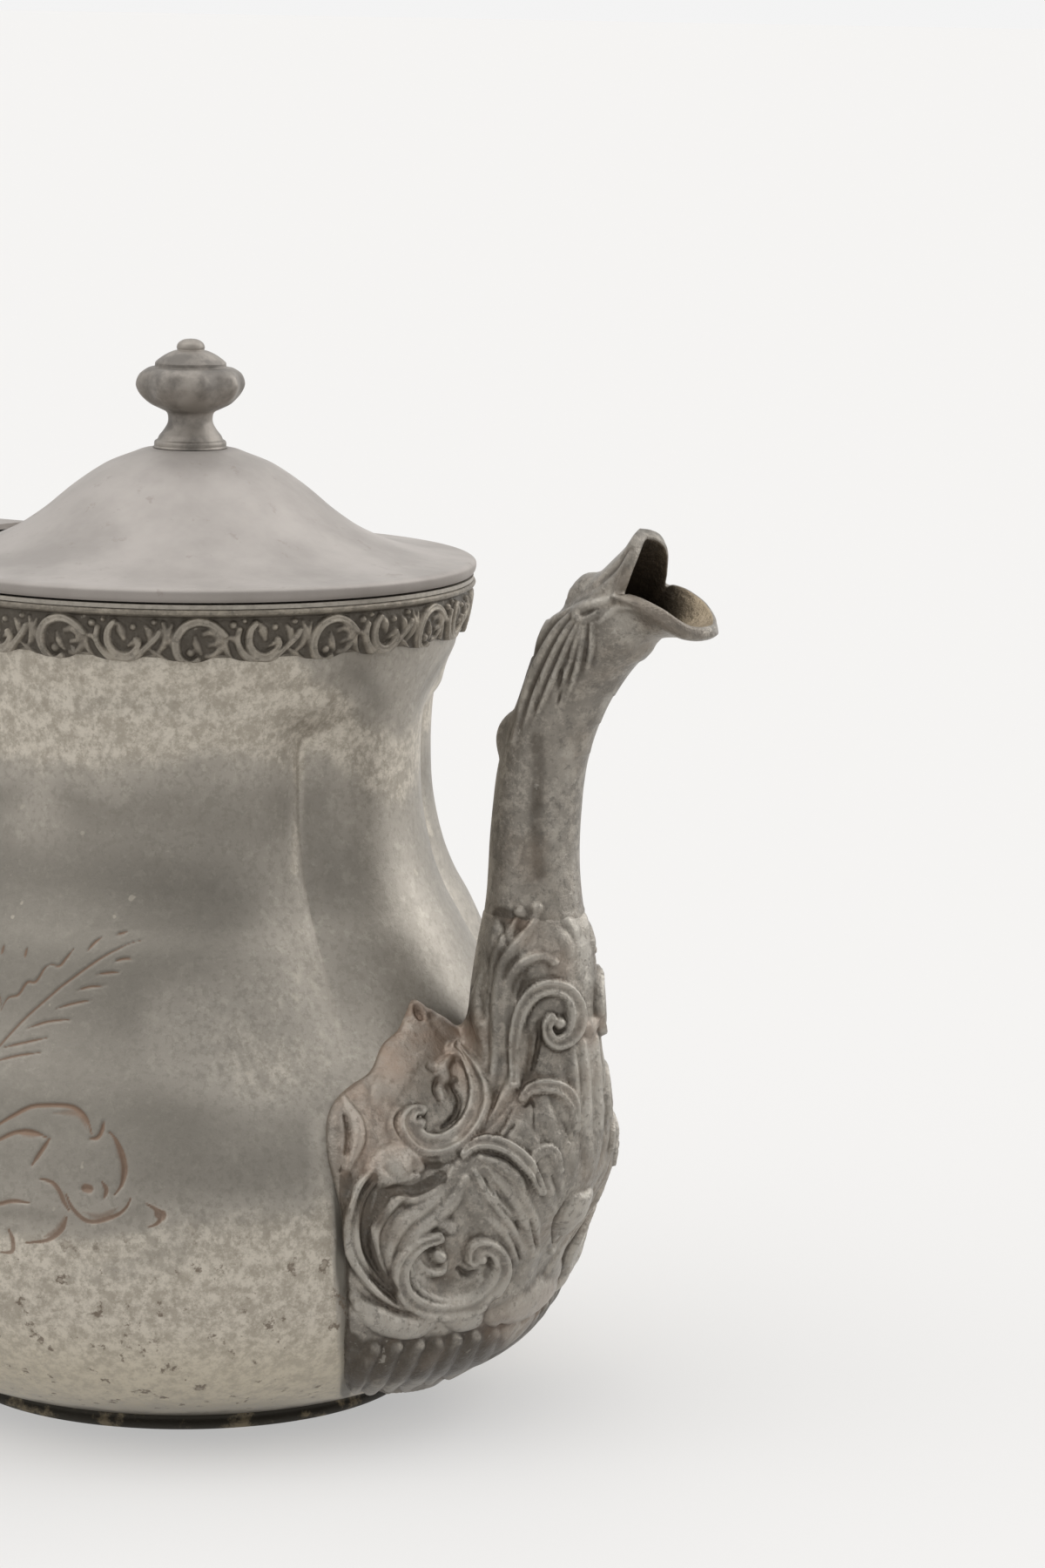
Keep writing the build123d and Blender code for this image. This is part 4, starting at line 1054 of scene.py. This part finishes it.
def neck_skin(turn):
    """Plain outer skin of the swan neck and beak, and how many of its rows are neck."""
    near = np.where(turn > 180, 360 - turn, turn)
    hand = np.where(turn > 180, 1.0, -1.0)
    s = smooth_line(NECK_SECTIONS, 9)
    cosine, sine = np.cos(np.radians(turn)), np.sin(np.radians(near))
    middle = np.stack([(s[:, 0] + s[:, 2]) / 2, 0 * s[:, 0], (s[:, 1] + s[:, 3]) / 2], 1)
    deep = np.stack([(s[:, 2] - s[:, 0]) / 2, 0 * s[:, 0], (s[:, 3] - s[:, 1]) / 2], 1)
    tube = middle[:, None] + deep[:, None] * cosine[None, :, None]
    tube[:, :, 1] += s[:, 4][:, None] * sine * hand
    edge = round_mouth(smooth_line(MOUTH_EDGE, 8), near, hand)
    out = round_mouth(MOUTH_LEAVING, near, hand)
    start = tube[-1]
    along = tube[-1] - tube[-2]
    along = along / np.linalg.norm(along, axis=1, keepdims=True) * 7.5
    t = np.linspace(0, 1, 30)[1:, None, None]
    beak = (2 * t**3 - 3 * t**2 + 1) * start + (t**3 - 2 * t**2 + t) * along
    beak = beak + (3 * t**2 - 2 * t**3) * edge + (t**3 - t**2) * out
    return np.concatenate([tube, beak]), len(tube)


def neck_detail(outer, turn, tube_rows):
    """Height of the curl, leaf, steps, throat lines and lip over the neck's plain skin."""
    y, z = outer[..., 1], outer[..., 2]
    facing = np.cos(np.radians(turn))[None, :] + 0 * y
    back = ease((-facing - 0.2) / 0.6)
    fall = np.clip((122.6 - z) / 8.2, 0, 1)
    curl = 1.8 * np.sin(np.pi * fall) ** 0.8 * np.exp(-((y / 3.9) ** 4))
    hood_leaf = 1.9 * np.exp(-((z - 143.2) / 2.3) ** 4 - (y / 3.6) ** 4)
    steps = 0.55 * (((z - 119) / 6.2) % 1.0) * ((z > 125.2) & (z < 141)) * np.exp(-(y / 3.0) ** 4)
    front = ease((facing - 0.3) / 0.5)
    throat = 0.5 * np.exp(-((z - 133.4) / 1.3) ** 4 - (np.abs(y) / 2.6) ** 4)
    lines = 0.35 * (((131 - z) / 5.0) % 1.0) * ((z > 116) & (z < 131)) * np.exp(-(y / 2.2) ** 4)
    tube_part = (np.arange(len(outer)) < tube_rows + 14)[:, None]
    extra = back * tube_part * (curl + hood_leaf + steps) + front * tube_part * (throat + lines)
    to_edge = np.linalg.norm(outer - outer[-1], axis=-1)
    lip = ease((facing - 0.1) / 0.6)
    extra = extra + 0.8 * lip * np.exp(-((to_edge - 1.0) / 2.0) ** 2)
    return extra + 0.8 * (1 - lip) * np.exp(-(to_edge / 2.2) ** 2)


def make_spout_neck():
    """Swan neck and beak as a tube whose wall turns over at the mouth's edge."""
    turn = np.linspace(0, 360, NECK_COLUMNS, endpoint=False)
    outer, tube_rows = neck_skin(turn)
    normal = grid_normals(outer)
    if normal[5, 0, 0] < 0:
        normal = -normal
    x, y = picture_point(outer)
    height = casting.read(x, y) * ease((outer[..., 2] - 88.2) / 1.5)
    extra = neck_detail(outer, turn, tube_rows)
    outer_moved = outer + normal * (height + extra)[..., None]
    outer_moved[..., 0] = np.minimum(outer_moved[..., 0], BEAK_REACH)
    lip_way = outer[-1] - outer[-2]
    lip_way = lip_way / np.linalg.norm(lip_way, axis=1, keepdims=True)
    inward = -normal[-1]
    rim = [outer[-1] + lip_way * 0.5 * a + inward * NECK_WALL * b
           for a, b in ((0.35, 0.12), (0.6, 0.35), (0.6, 0.65), (0.35, 0.88))]
    inner = (outer - normal * NECK_WALL)[::-1]
    throat_end = inner[-1:] - np.array([0, 0, THROAT_LENGTH])
    points = np.concatenate([outer_moved, np.array(rim), inner, throat_end])
    plain = np.zeros((len(rim), NECK_COLUMNS))
    marks = np.concatenate([height + extra * 0.3, plain, np.full((len(inner) + 1, NECK_COLUMNS), INSIDE)])
    hollow = np.zeros(marks.shape)
    # The finish paints shade where this is high and highlight where it is low
    hollow[:len(outer)] = casting_hollows.read(x, y)
    quads = grid_quads(len(points), NECK_COLUMNS)
    return make_mesh("spout_swan_neck", points, quads, {"mark": marks, "hollow": hollow})


class Finish:
    """A material under construction: each method adds shader nodes and returns the last one's output."""

    def __init__(self, name):
        self.material = bpy.data.materials.new(name)
        self.material.use_nodes = True
        self.tree = self.material.node_tree
        self.shader = self.tree.nodes["Principled BSDF"]
        coordinates = self.tree.nodes.new("ShaderNodeTexCoord")
        self.place = coordinates.outputs["Object"]
        split = self.tree.nodes.new("ShaderNodeSeparateXYZ")
        self.join(self.place, split.inputs[0])
        self.x, _, self.z = split.outputs

    def join(self, value, socket):
        """Links an output to a socket, or sets a number or colour there."""
        if isinstance(value, bpy.types.NodeSocket):
            self.tree.links.new(value, socket)
        else:
            socket.default_value = (*value, 1.0) if isinstance(value, tuple) else value

    def math(self, kind, a, b=0.0, clamp=False):
        """Sum, difference or product of two values."""
        node = self.tree.nodes.new("ShaderNodeMath")
        node.operation = kind
        node.use_clamp = clamp
        self.join(a, node.inputs[0])
        self.join(b, node.inputs[1])
        return node.outputs[0]

    def sway(self, noise, amount):
        """Noise centred on zero and scaled."""
        return self.math("MULTIPLY", self.math("SUBTRACT", noise, 0.5), amount)

    def noise(self, scale, detail=4.0, rough=0.55):
        """Noise from 0 to 1 with scale features to the metre."""
        node = self.tree.nodes.new("ShaderNodeTexNoise")
        node.inputs["Scale"].default_value = scale
        node.inputs["Detail"].default_value = detail
        node.inputs["Roughness"].default_value = rough
        self.join(self.place, node.inputs["Vector"])
        return node.outputs[0]

    def span(self, value, low, high, to_low=0.0, to_high=1.0):
        """Eased step of a value from low to high."""
        node = self.tree.nodes.new("ShaderNodeMapRange")
        node.interpolation_type = "SMOOTHSTEP"
        self.join(value, node.inputs["Value"])
        for key, number in zip(("From Min", "From Max", "To Min", "To Max"), (low, high, to_low, to_high)):
            node.inputs[key].default_value = number
        return node.outputs[0]

    def mark(self, name="mark"):
        """Number stored at the mesh's points."""
        node = self.tree.nodes.new("ShaderNodeAttribute")
        node.attribute_name = name
        return node.outputs["Fac"]

    def mix(self, share, a, b):
        """Colour a turning into colour b."""
        node = self.tree.nodes.new("ShaderNodeMix")
        node.data_type = "RGBA"
        self.join(share, node.inputs[0])
        self.join(a, node.inputs[6])
        self.join(b, node.inputs[7])
        return node.outputs[2]

    def bump(self, height, strength, distance):
        """Fine unevenness; distance is in metres."""
        node = self.tree.nodes.new("ShaderNodeBump")
        node.inputs["Strength"].default_value = strength
        node.inputs["Distance"].default_value = distance
        self.join(height, node.inputs["Height"])
        self.join(node.outputs[0], self.shader.inputs["Normal"])

    def done(self, colour, metallic, roughness):
        """Sets the surface itself and gives the material."""
        self.join(colour, self.shader.inputs["Base Color"])
        self.shader.inputs["Metallic"].default_value = metallic
        self.join(roughness, self.shader.inputs["Roughness"])
        return self.material


def scaled(colour, factor):
    """Lighter or darker copy of a colour."""
    return tuple(min(1, v * factor) for v in colour)


def body_finish():
    """Worn light and mottled where the map is high, else dull grey; stained and painted shade where low."""
    f = Finish("plated_body")
    blotch = f.noise(430, 8, 0.76)
    fine = f.noise(760, 5, 0.7)
    wide = f.noise(38, 5, 0.62)
    dull = f.mix(f.span(wide, 0.3, 0.7), (0.345, 0.314, 0.27), (0.40, 0.366, 0.317))
    dull = f.mix(f.span(fine, 0.46, 0.62, 0.0, 0.6), dull, (0.265, 0.243, 0.205))
    dull = f.mix(f.span(f.noise(520, 6, 0.75), 0.52, 0.64, 0.0, 0.5), dull, (0.47, 0.435, 0.372))
    mottle = f.mix(f.span(blotch, 0.40, 0.60), (0.39, 0.349, 0.288), (0.61, 0.558, 0.476))
    mottle = f.mix(f.span(fine, 0.50, 0.64, 0.0, 0.6), mottle, (0.325, 0.288, 0.232))
    # Mottle where the map is high: wear, and painted highlight on the crease's ridge and the lower belly's
    # right
    wear_and_light = f.math("ADD", f.mark("wear_and_light"), f.sway(blotch, 1.3))
    wear_and_light = f.math("ADD", wear_and_light, f.sway(wide, 1.3))
    colour = f.mix(f.span(wear_and_light, 0.0, 1.0), dull, mottle)
    yellow = f.math("MULTIPLY", f.span(f.z, 0.028, 0.012, 0.0, 0.7), f.span(blotch, 0.35, 0.6, 0.5, 1.0))
    colour = f.mix(yellow, colour, (0.61, 0.545, 0.42))
    # Dark where the map is low: stains, painted shadow beside the casting and painted shade by the crease and
    # below
    dark = f.math("ADD", f.mark("wear_and_light"), f.sway(fine, 0.35))
    colour = f.mix(f.span(dark, 0.05, -1.1, 0.0, 0.9), colour, (0.14, 0.128, 0.106))
    pits = f.math("MULTIPLY", f.span(f.noise(300, 5, 0.66), 0.59, 0.66), f.span(f.z, 0.045, 0.034))
    colour = f.mix(f.math("MULTIPLY", pits, 0.8), colour, (0.14, 0.105, 0.075))
    colour = f.mix(f.span(f.noise(300, 2, 0.5), 0.73, 0.76, 0.0, 0.4), colour, (0.52, 0.47, 0.39))
    colour = f.mix(f.span(f.mark(), -0.02, -0.17, 0.0, 0.7), colour, (0.17, 0.092, 0.052))
    # Painted shade: the belly's underside just above the foot is darkened, with a ragged edge
    underside_shade_level = f.math("ADD", f.z, f.math("MULTIPLY", f.noise(150, 4, 0.6), 0.004))
    colour = f.mix(f.span(underside_shade_level, 0.0088, 0.0058), colour, (0.105, 0.085, 0.055))
    f.bump(f.math("ADD", f.math("MULTIPLY", blotch, 0.8), f.math("MULTIPLY", fine, 0.5)), 0.25, 0.0003)
    rough = f.span(blotch, 0.3, 0.7, 0.36, 0.5)
    return f.done(colour, 0.62, rough)


def lid_finish():
    """Matt plate with fine grain, grey cloudiness and a darker edge."""
    f = Finish("plated_lid")
    cloud = f.noise(35, 5, 0.6)
    grain = f.noise(700, 3, 0.6)
    colour = f.mix(f.span(cloud, 0.35, 0.65), (0.335, 0.308, 0.285), (0.44, 0.406, 0.378))
    colour = f.mix(f.span(f.noise(260, 4, 0.7), 0.6, 0.72, 0.0, 0.4), colour, (0.25, 0.215, 0.185))
    colour = f.mix(f.span(f.z, 0.1438, 0.1425, 0.0, 0.35), colour, (0.22, 0.19, 0.165))
    f.bump(grain, 0.25, 0.0002)
    return f.done(colour, 0.55, 0.6)


def cast_finish(name, dull, wear_and_light, dirt_and_shade, height, low, high):
    """Casting: worn and painted light up high, dirt and painted shade in recesses; height(finish) tells them
    apart.
    """
    f = Finish(name)
    cloud = f.noise(90, 5, 0.62)
    fine = f.noise(700, 5, 0.7)
    level = height(f)
    level = f.math("ADD", level, f.sway(f.noise(220, 5, 0.66), 0.5))
    colour = f.mix(f.span(cloud, 0.35, 0.65), scaled(dull, 0.78), scaled(dull, 1.1))
    colour = f.mix(f.span(f.noise(420, 6, 0.75), 0.47, 0.6, 0.0, 0.6), colour, scaled(dull, 1.6))
    # Painted highlight with wear on the high parts, painted shade with dirt in the recesses
    colour = f.mix(f.span(level, (low + high) / 2, high, 0.0, 0.6), colour, wear_and_light)
    colour = f.mix(f.span(level, (low + high) / 2, low, 0.0, 0.85), colour, dirt_and_shade)
    colour = f.mix(f.span(fine, 0.52, 0.66, 0.0, 0.6), colour, scaled(dull, 0.5))
    colour = f.mix(f.span(f.noise(500, 3, 0.6), 0.66, 0.72, 0.0, 0.4), colour, wear_and_light)
    f.bump(f.math("ADD", f.noise(300, 6, 0.7), f.math("MULTIPLY", fine, 0.9)), 0.6, 0.0005)
    return f, colour


def above_surroundings(finish):
    """How far a spot of the casting stands over what is round it."""
    return finish.math("MULTIPLY", finish.mark("hollow"), -1.0)


def spout_finish():
    """Dark cast pewter with brown stains, rust where the rust map says, painted light and shade, and a dark
    throat.
    """
    dull, wear_and_light, dirt_and_shade = (0.256, 0.232, 0.198), (0.48, 0.448, 0.395), (0.06, 0.047, 0.034)
    f, colour = cast_finish("cast_pewter", dull, wear_and_light, dirt_and_shade, above_surroundings, -0.34, 0.5)
    stain = f.span(f.noise(60, 5, 0.65), 0.5, 0.66, 0.0, 0.35)
    colour = f.mix(stain, colour, (0.235, 0.185, 0.14))
    rust = f.math("MULTIPLY", f.mark("rust"), f.span(f.noise(140, 5, 0.65), 0.3, 0.65, 0.35, 1.0))
    colour = f.mix(f.math("MULTIPLY", rust, 0.75, True), colour, (0.37, 0.255, 0.185))
    inside = f.span(f.mark(), -6.0, -8.0)
    lip = f.math("ADD", f.x, f.math("MULTIPLY", f.noise(160, 5, 0.7), 0.008))
    colour = f.mix(inside, colour, f.mix(f.span(lip, 0.092, 0.1), (0.07, 0.055, 0.04), (0.36, 0.29, 0.20)))
    return f.done(colour, 0.62, f.span(f.noise(150, 4, 0.6), 0.3, 0.7, 0.3, 0.42))


def collar_finish():
    """Dark cast band, black with dirt and painted shade between the scrolls and with painted highlight on
    them.
    """
    dull, wear_and_light, dirt_and_shade = (0.25, 0.22, 0.178), (0.40, 0.362, 0.305), (0.062, 0.051, 0.038)
    f, colour = cast_finish("dark_collar", dull, wear_and_light, dirt_and_shade, Finish.mark, -0.4, 0.62)
    return f.done(colour, 0.5, 0.46)


def plain_finish(name, colour, metallic, roughness, spread=0.25):
    """One colour with soft, slightly lighter and darker spots."""
    f = Finish(name)
    shade = f.span(f.noise(150, 5, 0.65), 0.35, 0.65)
    shade = f.mix(shade, scaled(colour, 1 - spread), scaled(colour, 1 + spread))
    f.bump(f.noise(600, 3, 0.6), 0.2, 0.0002)
    return f.done(shade, metallic, roughness)


def foot_finish():
    """Black crust with light, rubbed spots."""
    f = Finish("dark_foot")
    crust = f.noise(130, 5, 0.7)
    colour = f.mix(f.span(crust, 0.5, 0.62), (0.04, 0.034, 0.024), (0.24, 0.195, 0.125))
    f.bump(crust, 0.5, 0.0006)
    return f.done(colour, 0.35, 0.6)


def paint(obj, material):
    """Gives an object one material."""
    obj.data.materials.clear()
    obj.data.materials.append(material)


def dress(obj, material, body, slot_name, *nodes):
    """Gives an object its finish and its place in the part."""
    paint(obj, material)
    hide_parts(*nodes)
    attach(obj, body)


body_metal, lid_metal, cast_metal = body_finish(), lid_finish(), spout_finish()
collar_metal, foot_metal = collar_finish(), foot_finish()
finial_metal = plain_finish("finial_pewter", (0.245, 0.222, 0.196), 0.55, 0.5, 0.35)
bone = plain_finish("bone", (0.62, 0.55, 0.42), 0.0, 0.4, 0.12)
steel = plain_finish("steel", (0.40, 0.38, 0.36), 0.9, 0.4)
brass = plain_finish("brass", (0.55, 0.42, 0.22), 0.9, 0.4)

dress(make_body(), body_metal, "pot", "plated_body", "body_bowl", "body_belly", "body_neck")
dress(make_collar(), collar_metal, "pot", "dark_pewter", "collar_band")
dress(make_lid(), lid_metal, "lid", "plated_lid", "lid_shell")
dress(make_finial(), finial_metal, "lid", "plated_lid", "finial_knob")
dress(make_foot(), foot_metal, "pot", "dark_pewter", "foot_ring")
dress(make_spout_base(), cast_metal, "pot", "cast_pewter", "spout_left_half")
dress(make_spout_neck(), cast_metal, "pot", "cast_pewter", "spout_right_half")

# Nodes that show as the solids themselves
PLAIN = {
    "base_plate": body_metal, "rim_bezel": body_metal, "hinge_body_leaf": collar_metal, "hinge_pin": steel,
    "handle_grip": cast_metal, "handle_upper_socket": cast_metal, "handle_lower_socket": cast_metal,
    "handle_upper_insulator": bone, "handle_lower_insulator": bone,
    "handle_upper_pins": steel, "handle_lower_pins": steel,
    "lid_skirt": lid_metal, "hinge_lid_leaf": lid_metal,
    "finial_stud": steel, "finial_washer": steel, "finial_nut": brass,
}
for node, material in PLAIN.items():
    paint(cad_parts[node], material)


def camera_only(tree, seen, cast):
    """Strength that the camera sees directly, and the one that lights the pot."""
    path = tree.nodes.new("ShaderNodeLightPath")
    share = tree.nodes.new("ShaderNodeMapRange")
    share.inputs["To Min"].default_value = cast
    share.inputs["To Max"].default_value = seen
    tree.links.new(path.outputs["Is Camera Ray"], share.inputs["Value"])
    return share.outputs[0]


# Floor: its colour, and the glow that the camera sees and that lights the pot; its half width is in metres
FLOOR_COLOUR = (0.36, 0.353, 0.344)
FLOOR_GLOW_COLOUR = (1.0, 0.998, 0.994)
FLOOR_GLOW_SEEN = 0.435
FLOOR_GLOW_CAST = 0.36
FLOOR_HALF = 60.0
# World: strength behind the camera, behind the pot, and as the camera sees it
WORLD_NEAR = 0.36
WORLD_FAR = 0.80
WORLD_SEEN = 0.902


def make_floor():
    """Pale seamless floor that fills the view behind the pot as well."""
    mesh = bpy.data.meshes.new("studio_floor")
    size = FLOOR_HALF
    mesh.from_pydata([(-size, -size, 0), (size, -size, 0), (size, size, 0), (-size, size, 0)], [],
                     [(0, 1, 2, 3)])
    floor = bpy.data.objects.new("studio_floor", mesh)
    bpy.context.scene.collection.objects.link(floor)
    material = bpy.data.materials.new("studio_floor")
    material.use_nodes = True
    tree = material.node_tree
    tree.nodes.clear()
    out = tree.nodes.new("ShaderNodeOutputMaterial")
    add = tree.nodes.new("ShaderNodeAddShader")
    plain = tree.nodes.new("ShaderNodeBsdfDiffuse")
    glow = tree.nodes.new("ShaderNodeEmission")
    plain.inputs["Color"].default_value = (*FLOOR_COLOUR, 1)
    glow.inputs["Color"].default_value = (*FLOOR_GLOW_COLOUR, 1)
    tree.links.new(camera_only(tree, FLOOR_GLOW_SEEN, FLOOR_GLOW_CAST), glow.inputs["Strength"])
    tree.links.new(plain.outputs[0], add.inputs[0])
    tree.links.new(glow.outputs[0], add.inputs[1])
    tree.links.new(add.outputs[0], out.inputs[0])
    mesh.materials.append(material)


def make_world():
    """Even studio light: bright behind and beside the pot, dimmer on the camera's side."""
    world = bpy.data.worlds.new("studio")
    bpy.context.scene.world = world
    world.use_nodes = True
    tree = world.node_tree
    tree.nodes.clear()
    out = tree.nodes.new("ShaderNodeOutputWorld")
    background = tree.nodes.new("ShaderNodeBackground")
    background.inputs["Color"].default_value = (1, 1, 1, 1)
    coordinates = tree.nodes.new("ShaderNodeTexCoord")
    towards = tree.nodes.new("ShaderNodeVectorMath")
    towards.operation = "DOT_PRODUCT"
    ahead = Vector((-math.cos(SPOUT_AZIMUTH), math.sin(SPOUT_AZIMUTH), 0.15)).normalized()
    towards.inputs[1].default_value = ahead
    shade = tree.nodes.new("ShaderNodeMapRange")
    shade.interpolation_type = "SMOOTHSTEP"
    shade.inputs["From Min"].default_value = -0.9
    shade.inputs["From Max"].default_value = 0.35
    shade.inputs["To Min"].default_value = WORLD_NEAR
    shade.inputs["To Max"].default_value = WORLD_FAR
    tree.links.new(coordinates.outputs["Generated"], towards.inputs[0])
    tree.links.new(towards.outputs["Value"], shade.inputs["Value"])
    direct = tree.nodes.new("ShaderNodeLightPath")
    choice = tree.nodes.new("ShaderNodeMix")
    choice.inputs[3].default_value = WORLD_SEEN
    tree.links.new(direct.outputs["Is Camera Ray"], choice.inputs[0])
    tree.links.new(shade.outputs[0], choice.inputs[2])
    tree.links.new(choice.outputs[0], background.inputs["Strength"])
    tree.links.new(background.outputs[0], out.inputs[0])


def softbox(name, place, strength, spread):
    """Soft light from the direction of a place; spread is its width in degrees."""
    light = bpy.data.lights.new(name, "SUN")
    light.energy = strength
    light.angle = math.radians(spread)
    obj = bpy.data.objects.new(name, light)
    obj.location = place
    obj.rotation_mode = "QUATERNION"
    obj.rotation_quaternion = Vector(place).to_track_quat("Z", "Y")
    bpy.context.scene.collection.objects.link(obj)


def picture_place(right, forward, up):
    """Place given as metres right of the pot, behind it and up, as the camera sees it."""
    s, c = math.sin(SPOUT_AZIMUTH), math.cos(SPOUT_AZIMUTH)
    return (right * s - forward * c, right * c + forward * s, up)


def make_camera():
    """The photograph's camera, as fitted above."""
    camera = bpy.data.cameras.new("photo_camera")
    camera.sensor_width = 36.0
    camera.lens = 110.0
    camera.dof.use_dof = False
    camera.clip_start, camera.clip_end = 0.05, 200.0
    obj = bpy.data.objects.new("photo_camera", camera)
    turn = Matrix(np.stack([RIGHT, UP, -FORWARD], 1).tolist())
    obj.matrix_world = Matrix.Translation(Vector(CAMERA_PLACE * MM)) @ turn.to_4x4()
    bpy.context.scene.collection.objects.link(obj)
    bpy.context.scene.camera = obj


make_floor()
make_world()
make_camera()
softbox("window_left", picture_place(-0.9, -0.5, 1.25), 0.85, 70)
softbox("window_right", picture_place(1.0, 0.3, 0.6), 1.2, 50)
softbox("overhead", picture_place(0.0, 0.1, 1.2), 0.8, 90)
bpy.context.scene.view_settings.view_transform = "Standard"
